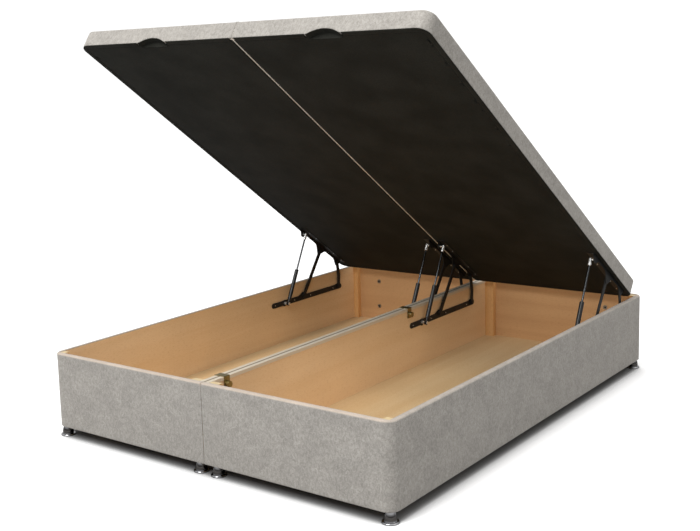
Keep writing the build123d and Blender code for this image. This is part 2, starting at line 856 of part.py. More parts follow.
flange_face = lid_border_drop - rail_flange_thickness
with BuildPart() as lid_rail_screws:
    with BuildSketch(lid_plane.offset(flange_face)):
        with Locations(*rail_screw_points):
            Circle(screw_radius)
    extrude(amount=screw_length - plate_gap)
    with BuildSketch(lid_plane.offset(flange_face)):
        with Locations(*rail_screw_points):
            Circle(screw_head_radius)
    extrude(amount=-screw_head_height, taper=screw_head_taper)
finish(lid_rail_screws, "lid_rail_screws")

# Lid frame of each half: two long rails, and two end rails between them
lid_bolt_places = [(-share * bed_length, lid_bolt_level) for share in lid_bolt_shares]


def lid_bolt_holes(radius, mode):
    """Bolts or bolt holes across both centre rails."""
    with BuildSketch(lid_side) as section:
        with Locations(*lid_bolt_places):
            Circle(radius)
    extrude(section.sketch, amount=centre_rail_x, both=True, mode=mode)


with BuildPart() as right_lid_frame:
    with BuildSketch(lid_plane.offset(frame_low)):
        add(half_outline(lid_rail_x, lid_board_x, -lid_foot_s, -lid_wall, 0, lid_board_radius))
        with Locations(((seam_half_gap + centre_rail_x) / 2, -bed_length / 2)):
            Rectangle(lid_rail_width, lid_foot_s - lid_wall)
        for middle in (lid_wall + lid_rail_width / 2, lid_foot_s - lid_rail_width / 2):
            with Locations(((centre_rail_x + lid_rail_x) / 2, -middle)):
                Rectangle(lid_rail_x - centre_rail_x - 2 * board_gap, lid_rail_width)
    extrude(amount=deck_low - frame_low)
    add(hand_hold(1), mode=Mode.SUBTRACT)
    lid_screw_holes()
    lid_bolt_holes(bolt_radius + running_gap, Mode.SUBTRACT)
finish(right_lid_frame, "right_lid_frame")
finish(mirrored(right_lid_frame), "left_lid_frame")

with BuildPart() as lid_slats:
    slat_pitch = (bed_length - 2 * lid_rail_width) / (slat_count + 1)
    slat_span = lid_rail_x - centre_rail_x - 2 * board_gap
    with BuildSketch(lid_plane.offset(deck_low - slat_thickness)):
        for side in (-1, 1):
            for place in range(1, slat_count + 1):
                middle = lid_rail_width + place * slat_pitch
                with Locations((side * (centre_rail_x + lid_rail_x) / 2, -middle)):
                    Rectangle(slat_span, slat_width)
    extrude(amount=slat_thickness)
finish(lid_slats, "lid_slats")

with BuildPart() as lid_joining_bolts:
    lid_bolt_holes(bolt_radius, Mode.ADD)
    for side in (-1, 1):
        with BuildSketch(lid_side.offset(side * centre_rail_x)):
            with Locations(*lid_bolt_places):
                RegularPolygon(bolt_head_radius, 6)
        extrude(amount=side * bolt_head_height)
finish(lid_joining_bolts, "lid_joining_bolts")

with BuildPart() as right_lid_deck:
    with BuildSketch(lid_plane.offset(deck_low)):
        add(half_outline(seam_half_gap, lid_board_x, -lid_foot_s, -lid_wall, 0, lid_board_radius))
    extrude(amount=deck_thickness)
finish(right_lid_deck, "right_lid_deck")
finish(mirrored(right_lid_deck), "left_lid_deck")

# Fabric over the top and three sides of each lid half, turned under its edge
with BuildPart() as right_lid_cover:
    with BuildSketch(lid_plane.offset(lid_border_drop)):
        add(half_outline(seam_half_gap, outer_x, -bed_length, 0, lid_seam_radius, lid_corner_radius))
    extrude(amount=lid_thickness - lid_border_drop)
    rim = right_lid_cover.faces().sort_by(lid_axis)[-1].edges()
    fillet(rim.filter_by_position(Axis.X, lid_seam_radius, outer_x), lid_edge_radius)
    with BuildSketch(lid_plane.offset(frame_low)):
        add(half_outline(0, lid_board_x, -lid_foot_s, -lid_wall, 0, lid_board_radius))
    extrude(amount=deck_high - frame_low, mode=Mode.SUBTRACT)
    with BuildSketch(lid_plane.offset(lid_border_drop - overrun)):
        hem_x = outer_x - lid_hem_width
        hem_end = bed_length - lid_hem_width
        hem_radius = lid_corner_radius - lid_hem_width
        add(half_outline(0, hem_x, -hem_end, -lid_hem_width, 0, hem_radius))
    extrude(amount=deck_low - lid_border_drop, mode=Mode.SUBTRACT)
    add(hand_hold(1), mode=Mode.SUBTRACT)
finish(right_lid_cover, "right_lid_cover")
finish(mirrored(right_lid_cover), "left_lid_cover")

# Black lining under each half, with a proud border over the cover's hem
with BuildPart() as right_lid_lining:
    with BuildSketch(lid_plane.offset(lid_border_drop)):
        add(half_outline(strip_half_width, hem_x, -hem_end, -lid_hem_width, 0, hem_radius))
    extrude(amount=lining_thickness)
    with BuildSketch(lid_plane):
        border_far = lid_border_inset + lid_border_width
        add(
            half_outline(
                strip_half_width,
                outer_x - lid_border_inset,
                lid_border_inset - bed_length,
                -lid_border_inset,
                0,
                lid_corner_radius - lid_border_inset,
            )
        )
        add(
            half_outline(
                0,
                outer_x - border_far,
                border_far - bed_length,
                -border_far,
                0,
                lid_corner_radius - border_far,
            ),
            mode=Mode.SUBTRACT,
        )
    extrude(amount=lid_border_drop)
    add(hand_hold(1), mode=Mode.SUBTRACT)
    lid_screw_holes()
finish(right_lid_lining, "right_lid_lining")
finish(mirrored(right_lid_lining), "left_lid_lining")

print(len(nodes), "nodes")
front_shut = lid_closed_point(front_pivot_s, -front_pivot_drop)
rear_shut = lid_closed_point(rear_pivot_s, -rear_pivot_drop)
print("front arm turns", round(turn(front_base, front_lid, front_shut), 3))
print("rear arm turns", round(turn(rear_base, rear_lid, rear_shut), 3))
print("gas lift turns", round(turn(strut_base, strut_lid, strut_shut), 3))
print("gas lift slides", round(strut_shut_length - strut_open_length, 3))
for pivot in (front_base, rear_base, strut_base, front_lid, rear_lid):
    print("pivot", [round(v, 2) for v in pivot])
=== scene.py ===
import math

import bpy
import bmesh
from mathutils import Matrix, Vector, noise


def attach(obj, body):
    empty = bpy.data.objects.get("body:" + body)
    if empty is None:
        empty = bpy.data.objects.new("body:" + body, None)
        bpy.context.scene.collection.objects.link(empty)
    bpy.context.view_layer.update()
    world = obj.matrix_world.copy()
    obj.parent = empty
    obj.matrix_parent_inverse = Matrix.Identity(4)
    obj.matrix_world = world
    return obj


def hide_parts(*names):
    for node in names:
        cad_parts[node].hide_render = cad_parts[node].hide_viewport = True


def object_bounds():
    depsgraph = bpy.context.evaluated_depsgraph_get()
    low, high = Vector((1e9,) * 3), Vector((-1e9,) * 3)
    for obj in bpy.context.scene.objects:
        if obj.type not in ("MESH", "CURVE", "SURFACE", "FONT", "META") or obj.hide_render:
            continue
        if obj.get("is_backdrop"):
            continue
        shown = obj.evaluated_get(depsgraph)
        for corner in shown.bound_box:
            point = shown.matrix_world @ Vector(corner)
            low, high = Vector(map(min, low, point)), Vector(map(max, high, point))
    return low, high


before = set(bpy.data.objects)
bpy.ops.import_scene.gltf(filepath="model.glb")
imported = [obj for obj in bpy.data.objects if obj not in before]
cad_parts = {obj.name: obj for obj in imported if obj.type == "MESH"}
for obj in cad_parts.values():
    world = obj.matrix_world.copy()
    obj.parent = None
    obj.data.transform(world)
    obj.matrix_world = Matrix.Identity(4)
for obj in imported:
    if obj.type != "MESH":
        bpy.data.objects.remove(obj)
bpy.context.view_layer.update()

# Chrome glides. Eight screw-in feet, turned and pressed from steel and plated with
# bright chromium. They carry the two halves of the base on their threaded stems.


def linear(hex_colour):
    """An sRGB colour such as #a8a39f as the linear values that shaders take."""
    parts = [int(hex_colour[i : i + 2], 16) / 255 for i in (1, 3, 5)]
    return (*[p / 12.92 if p <= 0.04045 else ((p + 0.055) / 1.055) ** 2.4 for p in parts], 1.0)


def add(tree, kind, settings, inputs):
    """Add one node to a tree, with its settings, and its inputs set or linked.

    A node that is given as an input stands for its first output."""
    made = tree.nodes.new(kind)
    for name, value in settings.items():
        setattr(made, name, value)
    for name, value in inputs.items():
        if isinstance(value, bpy.types.Node):
            value = value.outputs[0]
        if isinstance(value, bpy.types.NodeSocket):
            tree.links.new(value, made.inputs[name])
        else:
            made.inputs[name].default_value = value
    return made


def new_finish(name, **values):
    """An empty material, its tree and its surface shader with these plain values."""
    finish = bpy.data.materials.new(name)
    finish.use_nodes = True
    tree = finish.node_tree
    shader = tree.nodes["Principled BSDF"]
    for key, value in values.items():
        shader.inputs[key.replace("_", " ")].default_value = value
    return finish, tree, shader


def dress(finish, *names):
    """Give CAD nodes this finish."""
    for name in names:
        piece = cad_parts[name]
        piece.data.materials.clear()
        piece.data.materials.append(finish)


MM = 0.001

# Bright chromium plate: near-mirror, dulled in patches by faint smears, and darkened with
# painted shade round its domed part, for the shade that falls there under the base
smear_size = 12 * MM
flange_top, dome_low, dome_high, neck_low = 6 * MM, 12 * MM, 24 * MM, 34 * MM
chrome_plate, tree, shader = new_finish("chromium_plate_polished", Metallic=1.0)
place = add(tree, "ShaderNodeTexCoord", {}, {})
smear = add(
    tree, "ShaderNodeTexNoise", {}, {"Vector": place.outputs["Object"], "Scale": 1 / smear_size, "Detail": 3.0}
)
dull = add(
    tree,
    "ShaderNodeMapRange",
    {},
    {"Value": smear, "From Min": 0.4, "From Max": 0.75, "To Min": 0.06, "To Max": 0.2},
)
tree.links.new(dull.outputs["Result"], shader.inputs["Roughness"])
height = add(tree, "ShaderNodeSeparateXYZ", {}, {"Vector": place.outputs["Object"]})
over_flange = add(
    tree, "ShaderNodeMapRange", {}, {"Value": height.outputs["Z"], "From Min": flange_top, "From Max": dome_low}
)
under_neck = add(
    tree,
    "ShaderNodeMapRange",
    {},
    {"Value": height.outputs["Z"], "From Min": dome_high, "From Max": neck_low, "To Min": 1.0, "To Max": 0.0},
)
# Painted shade: the band between the flange and the neck is darkened, as the base shadows it
painted_dome_shade = add(tree, "ShaderNodeMath", {"operation": "MULTIPLY"}, {0: over_flange, 1: under_neck})
tint = add(tree, "ShaderNodeMix", {"data_type": "RGBA"}, {0: painted_dome_shade, 6: linear("#b4b4b6"), 7: linear("#5f5c5a")})
tree.links.new(tint.outputs[2], shader.inputs["Base Color"])
dress(chrome_plate, "glides")


def mottled(name, patch, detail, dark, light, **values):
    """Finish whose colour wanders between two shades, in patches of this size."""
    finish, tree, shader = new_finish(name, **values)
    place = add(tree, "ShaderNodeTexCoord", {}, {})
    patches = add(
        tree, "ShaderNodeTexNoise", {}, {"Vector": place.outputs["Object"], "Scale": 1 / patch, "Detail": detail}
    )
    tint = add(tree, "ShaderNodeMix", {"data_type": "RGBA"}, {0: patches, 6: linear(dark), 7: linear(light)})
    tree.links.new(tint.outputs[2], shader.inputs["Base Color"])
    return finish


# Zinc-plated threaded inserts, pressed into the posts and the head panels. The plate has
# a fine grey bloom.
zinc_plate = mottled("zinc_plate_passivated", 4 * MM, 4.0, "#6f6f6c", "#b9b8b3", Metallic=1.0, Roughness=0.42)
dress(zinc_plate, "threaded_inserts")

# Boards of the two boxes. Chipboard faced with a printed beech foil, satin to the eye,
# with short flecks and a soft figure along each board's length. The left floor board has
# a paler strip of painted light, beside painted shade along its edge by the side panel.


def beech_foil(name, grain_axis, light, mid, dark):
    """Printed beech foil whose figure and flecks run along one axis."""
    finish, tree, shader = new_finish(name, Specular_IOR_Level=0.35)
    # Width and length of the broad figure and of the short flecks
    figure_marks = (45 * MM, 900 * MM, {"Detail": 4.0, "Distortion": 0.6})
    fleck_marks = (1.8 * MM, 16 * MM, {"Detail": 2.0})
    cloud_size, pore_depth = 450 * MM, 0.3 * MM
    place = add(tree, "ShaderNodeTexCoord", {}, {})
    printed = []
    for width, length, look in (figure_marks, fleck_marks):
        scale = [1 / width] * 3
        scale[grain_axis] = 1 / length
        drawn_out = add(tree, "ShaderNodeMapping", {}, {"Vector": place.outputs["Object"], "Scale": scale})
        printed.append(add(tree, "ShaderNodeTexNoise", {}, {"Vector": drawn_out, "Scale": 1.0, **look}))
    figure, fleck = printed
    cloud = add(
        tree, "ShaderNodeTexNoise", {}, {"Vector": place.outputs["Object"], "Scale": 1 / cloud_size, "Detail": 2.0}
    )
    figure_range = add(tree, "ShaderNodeMapRange", {}, {"Value": figure, "From Min": 0.32, "From Max": 0.68})
    fleck_range = add(
        tree, "ShaderNodeMapRange", {}, {"Value": fleck, "From Min": 0.54, "From Max": 0.72, "To Max": 0.45}
    )
    shade = add(
        tree,
        "ShaderNodeMapRange",
        {},
        {"Value": cloud, "From Min": 0.3, "From Max": 0.7, "To Min": 0.94, "To Max": 1.05},
    )
    grain = add(tree, "ShaderNodeMix", {"data_type": "RGBA"}, {0: figure_range, 6: linear(mid), 7: linear(light)})
    flecked = add(
        tree, "ShaderNodeMix", {"data_type": "RGBA"}, {0: fleck_range, 6: grain.outputs[2], 7: linear(dark)}
    )
    toned = add(tree, "ShaderNodeVectorMath", {"operation": "SCALE"}, {0: flecked.outputs[2], "Scale": shade})
    tree.links.new(toned.outputs["Vector"], shader.inputs["Base Color"])
    gloss = add(tree, "ShaderNodeMapRange", {}, {"Value": fleck, "To Min": 0.42, "To Max": 0.58})
    tree.links.new(gloss.outputs["Result"], shader.inputs["Roughness"])
    pores = add(tree, "ShaderNodeBump", {}, {"Height": fleck, "Strength": 0.12, "Distance": pore_depth})
    tree.links.new(pores.outputs["Normal"], shader.inputs["Normal"])
    return finish


foil_long = beech_foil("beech_foil_along_the_bed", 1, "#edcca1", "#e7c395", "#c99b6e")
foil_floor = beech_foil("beech_foil_on_the_floor_boards", 1, "#d5b98e", "#cfb083", "#b58c61")
foil_cross = beech_foil("beech_foil_across_the_bed", 0, "#cfa577", "#c69b6d", "#a8794c")

# The painted light lies in a strip between the left board's edge and its middle, and fades
# on both sides; towards the edge itself the foil is darkened with painted shade
painted_edge_shade, painted_streak_light = 0.84, 1.24
board_edge, streak_left, streak_right, plain_from = -720 * MM, -640 * MM, -600 * MM, -300 * MM
tree = foil_floor.node_tree
surface = tree.nodes["Principled BSDF"].inputs["Base Color"]
printed = surface.links[0].from_socket
place = add(tree, "ShaderNodeTexCoord", {}, {})
across = add(tree, "ShaderNodeSeparateXYZ", {}, {"Vector": place.outputs["Object"]})
painted_light_ramps = []
for start, end, first, last in (
    (board_edge, streak_left, painted_edge_shade, painted_streak_light),
    (streak_right, plain_from, 1.0, 1 / painted_streak_light),
):
    painted_light_ramps.append(
        add(
            tree,
            "ShaderNodeMapRange",
            {"interpolation_type": "SMOOTHSTEP"},
            {"Value": across.outputs["X"], "From Min": start, "From Max": end, "To Min": first, "To Max": last},
        )
    )
# Painted light and shade across the board, multiplied into the foil's colour
painted_light_and_shade = add(tree, "ShaderNodeMath", {"operation": "MULTIPLY"}, {0: painted_light_ramps[0], 1: painted_light_ramps[1]})
lit_and_shaded_foil = add(tree, "ShaderNodeVectorMath", {"operation": "SCALE"}, {0: printed, "Scale": painted_light_and_shade})
tree.links.new(lit_and_shaded_foil.outputs["Vector"], surface)
for half in ("left", "right"):
    dress(foil_long, f"{half}_side_panel", f"{half}_divider_panel")
    dress(foil_floor, f"{half}_floor_board")
    dress(foil_cross, f"{half}_foot_panel", f"{half}_head_panel")

# Corner posts. Planed softwood, glued and stapled into the corners, a little warmer
# and plainer than the foil, with upright grain; the colour turns paler over each post's top face.
post_wood = beech_foil("softwood_planed_upright", 2, "#e4b77f", "#daa86b", "#b38049")
pale_top_low, pale_top_high = 319.4 * MM, 319.9 * MM
tree = post_wood.node_tree
surface = tree.nodes["Principled BSDF"].inputs["Base Color"]
planed = surface.links[0].from_socket
place = add(tree, "ShaderNodeTexCoord", {}, {})
height = add(tree, "ShaderNodeSeparateXYZ", {}, {"Vector": place.outputs["Object"]})
# The top half millimetre of each post, its top face, is mixed to a pale cream
pale_top = add(
    tree, "ShaderNodeMapRange", {}, {"Value": height.outputs["Z"], "From Min": pale_top_low, "From Max": pale_top_high}
)
ends = add(tree, "ShaderNodeMix", {"data_type": "RGBA"}, {0: pale_top, 6: planed, 7: linear("#cdb890")})
tree.links.new(ends.outputs[2], surface)
for half in ("left", "right"):
    dress(post_wood, f"{half}_corner_posts")

# Base covers. Crushed suede over thin wadding on three sides of each half, folded over
# the boards' top edge, turned under the bottom edge and stapled there.
corner_radius = 40 * MM
seam_x = 0.4 * MM
seam_radius = 1.6 * MM
half_width = 750 * MM
half_length = 1000 * MM
base_low = 39 * MM
base_high = 322 * MM
board_inner_x = 731 * MM
board_inner_y = 981 * MM
cloth_step = 8 * MM
cloth_thickness = 1.4 * MM


def three_sides(step, corner, seam):
    """Outline of the right half in plan: foot side, outer side, head side.

    Each place is (x, y, outward x, outward y, how far into a corner from 0 to 1, side)."""
    places = []

    def run(start, end, way, side):
        count = max(2, round((Vector(end) - Vector(start)).length / step))
        for i in range(1, count):
            spot = Vector(start).lerp(Vector(end), i / count)
            places.append((*spot, *way, 0.0, side))

    def arc(centre, radius, first, side, count):
        for i in range(count + 1):
            angle = math.radians(first + 90 * i / count)
            out = (math.cos(angle), math.sin(angle))
            places.append((centre[0] + radius * out[0], centre[1] + radius * out[1], *out, i / count, side))

    far_x, far_y = half_width, half_length
    arc((seam_x + seam, seam - far_y), seam, 180, "seam_foot", 4)
    run((seam_x + seam, -far_y), (far_x - corner, -far_y), (0, -1), "foot")
    arc((far_x - corner, corner - far_y), corner, 270, "corner_foot", 10)
    run((far_x, corner - far_y), (far_x, far_y - corner), (1, 0), "outer")
    arc((far_x - corner, far_y - corner), corner, 0, "corner_head", 10)
    run((far_x - corner, far_y), (seam_x + seam, far_y), (0, 1), "head")
    arc((seam_x + seam, far_y - seam), seam, 90, "seam_head", 4)
    return places


def with_distance(places):
    """Each place of an outline, after the distance walked to it."""
    along = 0.0
    for index, place in enumerate(places):
        if index:
            along += math.hypot(place[0] - places[index - 1][0], place[1] - places[index - 1][1])
        yield along, place


def heights_up(column):
    """Distance walked up a column of points to each of them."""
    run, found = 0.0, []
    for index, point in enumerate(column):
        if index:
            run += (Vector(point) - Vector(column[index - 1])).length
        found.append(run)
    return found


def wander(u, v, u_size, v_size, layer):
    """Noise from -1 to 1 that drifts over patches of these sizes, another for each layer."""
    return noise.noise(Vector((u / u_size, v / v_size, layer)))


def quarter_turn(count):
    """Sines and cosines of even steps through a quarter turn."""
    angles = [math.pi / 2 * i / count for i in range(count + 1)]
    return [(math.sin(angle), math.cos(angle)) for angle in angles]


def cloth_mesh(name, verts, faces, uvs):
    """Smooth mesh with the cloth's own UV in metres."""
    mesh = bpy.data.meshes.new(name)
    mesh.from_pydata(verts, [], faces)
    layer = mesh.uv_layers.new(name="cloth")
    for polygon in mesh.polygons:
        polygon.use_smooth = True
        for loop in polygon.loop_indices:
            layer.data[loop].uv = uvs[mesh.loops[loop].vertex_index]
    piece = bpy.data.objects.new(name, mesh)
    bpy.context.collection.objects.link(piece)
    return piece


def grid_mesh(name, columns, uvs, closed=False, painted_highlight=None):
    """Cloth of quads through columns of points.

    Painted highlight says how far each point is painted pale and warm, as light over an edge, from 0 to 1."""
    rows = len(columns[0])
    verts = [point for column in columns for point in column]
    faces = []
    for i in range(len(columns) if closed else len(columns) - 1):
        k = (i + 1) % len(columns)
        for j in range(rows - 1):
            faces.append((i * rows + j, k * rows + j, k * rows + j + 1, i * rows + j + 1))
    piece = cloth_mesh(name, verts, faces, uvs)
    # The painted highlight is kept in this colour attribute
    shade = piece.data.color_attributes.new("fold", "FLOAT_COLOR", "POINT")
    for point, value in zip(shade.data, painted_highlight or [0.0] * len(verts)):
        point.color = (value, value, value, 1.0)
    return piece


def settle(piece):
    """Turn a piece's modifiers into plain mesh."""
    graph = bpy.context.evaluated_depsgraph_get()
    finished = piece.evaluated_get(graph)
    done = bpy.data.meshes.new_from_object(finished, preserve_all_data_layers=True, depsgraph=graph)
    old = piece.data
    piece.modifiers.clear()
    piece.data = done
    done.name = piece.name
    bpy.data.meshes.remove(old)


def line_with_wall(piece, thickness):
    """Give a sheet its thickness inwards, with its raw edges closed."""
    wall = piece.modifiers.new("wall", "SOLIDIFY")
    wall.thickness = thickness
    wall.offset = -1
    wall.use_even_offset = False
    settle(piece)


def opposite(piece, name):
    """Copy of a right-hand piece for the left half, mirrored with its faces outwards."""
    twin = piece.copy()
    twin.data = piece.data.copy()
    twin.name = twin.data.name = name
    bpy.context.collection.objects.link(twin)
    twin.data.transform(Matrix.Diagonal((-1, 1, 1, 1)))
    twin.data.flip_normals()
    return twin


def corner_weight(side, share):
    """1 in the middle of an outer corner, 0 at its ends and elsewhere."""
    return math.sin(math.pi * share) if side.startswith("corner") else 0.0


def fold_end(place):
    """Where the fabric's top fold ends, over the inner edge of the boards."""
    x, y, _, _, share, side = place
    way = -1 if side.endswith("foot") else 1
    if side.startswith("seam"):
        reach = share if side == "seam_foot" else 1 - share
        return seam_x + reach * seam_radius, way * board_inner_y
    if side in ("foot", "head"):
        return x, way * board_inner_y
    if side == "outer":
        return board_inner_x, y
    turn = share if side == "corner_foot" else 1 - share
    start_x, end_y = half_width - corner_radius, way * (half_length - corner_radius)
    if turn < 0.5:
        return start_x + (board_inner_x - start_x) * turn * 2, way * board_inner_y
    return board_inner_x, way * board_inner_y + (end_y - way * board_inner_y) * (turn * 2 - 1)


# Lines of drag: the middle's distance along the cloth, its height, half length and sag, in mm
drags = ((530, 137, 130, 6), (460, 200, 80, 8), (600, 238, 90, 10))
drag_width = 7 * MM


def drag_lines(along, height):
    """How deep the shallow lines are where the cloth was pulled towards the foot corner."""
    depth = 0.0
    for middle, level, reach, sag in drags:
        taper = 1 - ((along - middle * MM) / (reach * MM)) ** 2
        if taper > 0:
            depth += taper * math.exp(-(((height - level * MM + sag * MM * taper) / drag_width) ** 2))
    return depth


# Creases reach this far up from the hem, and down from the fold over the boards
hem_creases, fold_creases = 35 * MM, 30 * MM
outline = three_sides(cloth_step, corner_radius, seam_radius)
edge_roll = 3 * MM
top_roll = 6 * MM
hem_width = 34 * MM
wall_rows = 34
columns, uvs, painted_highlight = [], [], []
for along, place in with_distance(outline):
    x, y, out_x, out_y, share, side = place
    inward = Vector((-out_x, -out_y))
    spot = Vector((x, y))
    hem = hem_width
    if side != "outer":
        hem = min(hem_width, seam_radius * 0.8 + abs(x - seam_x) * 0.6)
    section = [(hem + (edge_roll - hem) * i / 3, base_low, 0.0) for i in range(4)]
    for sine, cosine in quarter_turn(3)[1:]:
        section.append((edge_roll * (1 - sine), base_low + edge_roll * (1 - cosine), 0.0))
    for i in range(1, wall_rows):
        height = base_low + edge_roll + (base_high - base_low - edge_roll - top_roll) * i / wall_rows
        section.append((0.0, height, math.sin(math.pi * i / wall_rows)))
    roll = min(top_roll, seam_radius) if side.startswith("seam") else top_roll
    for sine, cosine in quarter_turn(6):
        section.append((roll * (1 - cosine), base_high - roll * (1 - sine), 0.0))
    column = []
    for step_in, height, ease in section:
        bulge = 0.0
        if ease > 0:
            broad = wander(along, height, 310 * MM, 240 * MM, 1.7)
            ripple = wander(along, height, 50 * MM, 170 * MM, 5.1)
            crease = wander(along, height, 14 * MM, 130 * MM, 9.4)
            near_hem = math.exp((base_low - height) / hem_creases)
            near_fold = math.exp((height - base_high) / fold_creases)
            creased = 0.25 * near_hem + 0.175 * near_fold + 0.5 * corner_weight(side, share)
            bulge = (0.75 * broad + 0.4 * ripple + creased * crease - 0.9 * drag_lines(along, height)) * MM
            bulge *= min(1.0, ease * 4)
        point = spot + inward * (step_in - bulge)
        column.append((point.x, point.y, height))
    end = Vector(fold_end(place))
    top = spot + inward * roll
    for i in range(1, 4):
        point = top.lerp(end, i / 3)
        column.append((point.x, point.y, base_high))
    columns.append(column)
    uvs.extend((along, run) for run in heights_up(column))
    # Painted highlight over the top roll: full at the foot and head, weaker on the outer side and fading round the
    # foot corner, as the light falls
    highlight_strength = {"outer": 0.45, "corner_foot": 1 - 0.55 * share}.get(side, 1.0)
    for point in column:
        painted_highlight.append(highlight_strength * min(1.0, max(0.0, (point[2] - base_high + top_roll) / (top_roll * 0.8))))
right_base_cover = grid_mesh("right_cover_cloth", columns, uvs, painted_highlight=painted_highlight)
line_with_wall(right_base_cover, cloth_thickness)
left_base_cover = opposite(right_base_cover, "left_cover_cloth")


def crushed_suede(name):
    """Polyester suede with a crushed nap: soft streaks up the cloth, short brushed fibres."""
    finish, tree, shader = new_finish(
        name, Roughness=0.92, Specular_IOR_Level=0.2, Sheen_Weight=0.35, Sheen_Roughness=0.5
    )
    shader.inputs["Sheen Tint"].default_value = linear("#f2ece6")
    crush_width, crush_height = 8 * MM, 12 * MM
    nap_width, nap_height = 2.8 * MM, 4 * MM
    drift_size, pile_depth = 85 * MM, 1.4 * MM
    cloth = add(tree, "ShaderNodeUVMap", {"uv_map": "cloth"}, {})
    crush_map = add(
        tree, "ShaderNodeMapping", {}, {"Vector": cloth, "Scale": (1 / crush_width, 1 / crush_height, 1)}
    )
    crush = add(
        tree,
        "ShaderNodeTexNoise",
        {},
        {"Vector": crush_map, "Scale": 1.0, "Detail": 5.0, "Roughness": 0.75, "Distortion": 1.0},
    )
    nap_map = add(tree, "ShaderNodeMapping", {}, {"Vector": cloth, "Scale": (1 / nap_width, 1 / nap_height, 1)})
    nap = add(tree, "ShaderNodeTexNoise", {}, {"Vector": nap_map, "Scale": 1.0, "Detail": 2.0})
    drift = add(
        tree, "ShaderNodeTexNoise", {}, {"Vector": cloth, "Scale": 1 / drift_size, "Detail": 4.0, "Distortion": 1.2}
    )
    crush_range = add(
        tree,
        "ShaderNodeMapRange",
        {"interpolation_type": "SMOOTHSTEP"},
        {"Value": crush, "From Min": 0.34, "From Max": 0.66},
    )
    nap_range = add(
        tree,
        "ShaderNodeMapRange",
        {},
        {"Value": nap, "From Min": 0.3, "From Max": 0.7, "To Min": 0.9, "To Max": 1.08},
    )
    drift_range = add(
        tree,
        "ShaderNodeMapRange",
        {"interpolation_type": "SMOOTHSTEP"},
        {"Value": drift, "From Min": 0.36, "From Max": 0.66, "To Min": 0.93, "To Max": 1.05},
    )
    crushed = add(
        tree, "ShaderNodeMix", {"data_type": "RGBA"}, {0: crush_range, 6: linear("#88847e"), 7: linear("#a39f99")}
    )
    # Painted highlight: the top roll is mixed to a pale warm grey, for light from above and warm bounce from the
    # boards
    painted_edge_light = add(tree, "ShaderNodeVertexColor", {"layer_name": "fold"}, {})
    highlighted_colour = add(
        tree, "ShaderNodeMix", {"data_type": "RGBA"}, {0: painted_edge_light, 6: crushed.outputs[2], 7: linear("#b9ab9d")}
    )
    tone = add(tree, "ShaderNodeMath", {"operation": "MULTIPLY"}, {0: nap_range, 1: drift_range})
    toned = add(tree, "ShaderNodeVectorMath", {"operation": "SCALE"}, {0: highlighted_colour.outputs[2], "Scale": tone})
    tree.links.new(toned.outputs["Vector"], shader.inputs["Base Color"])
    pile = add(tree, "ShaderNodeMath", {"operation": "MULTIPLY_ADD"}, {0: nap, 1: 0.6, 2: crush})
    relief = add(tree, "ShaderNodeBump", {}, {"Height": pile, "Strength": 0.6, "Distance": pile_depth})
    tree.links.new(relief.outputs["Normal"], shader.inputs["Normal"])
    return finish


suede = crushed_suede("polyester_suede_crushed")
for piece, half in ((right_base_cover, "right"), (left_base_cover, "left")):
    piece.data.materials.append(suede)
    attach(piece, "base")
    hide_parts(f"{half}_base_cover")

# Channel over the divider. Roll-formed galvanised steel, drawn matt by its rollers,
# with faint lines along its length, and a band of painted shade and painted brown
# reflection of the boards down its middle.
roll_line_width, roll_line_length = 1.2 * MM, 300 * MM
shade_band_core, shade_band_edge = 2.5 * MM, 5.5 * MM
galvanised, tree, shader = new_finish("galvanised_steel_rolled", Metallic=0.35, Roughness=0.55)
place = add(tree, "ShaderNodeTexCoord", {}, {})
roll_scale = (1 / roll_line_width, 1 / roll_line_length, 1 / roll_line_width)
roll_map = add(tree, "ShaderNodeMapping", {}, {"Vector": place.outputs["Object"], "Scale": roll_scale})
rolled = add(tree, "ShaderNodeTexNoise", {}, {"Vector": roll_map, "Scale": 1.0, "Detail": 3.0})
tint = add(tree, "ShaderNodeMix", {"data_type": "RGBA"}, {0: rolled, 6: linear("#d3c6b2"), 7: linear("#e6dbc7")})
width = add(tree, "ShaderNodeSeparateXYZ", {}, {"Vector": place.outputs["Object"]})
middle = add(tree, "ShaderNodeMath", {"operation": "ABSOLUTE"}, {0: width.outputs["X"]})
# Painted shade and reflection: the middle of the top is mixed to dark brown
painted_groove_shade = add(
    tree,
    "ShaderNodeMapRange",
    {"interpolation_type": "SMOOTHSTEP"},
    {"Value": middle, "From Min": shade_band_core, "From Max": shade_band_edge},
)
shaded_tint = add(tree, "ShaderNodeMix", {"data_type": "RGBA"}, {0: painted_groove_shade, 6: linear("#877966"), 7: tint.outputs[2]})
tree.links.new(shaded_tint.outputs[2], shader.inputs["Base Color"])
dress(galvanised, "divider_channel")

# Straps and bolts that pull the halves together. Pressed steel, zinc plated and
# passivated yellow, with the passivation's uneven gold.
yellow_zinc = mottled(
    "zinc_plate_yellow_passivated", 9 * MM, 4.0, "#6f6238", "#b5a678", Metallic=1.0, Roughness=0.38
)
dress(yellow_zinc, "joining_straps", "strap_bolts", "lid_joining_bolts")

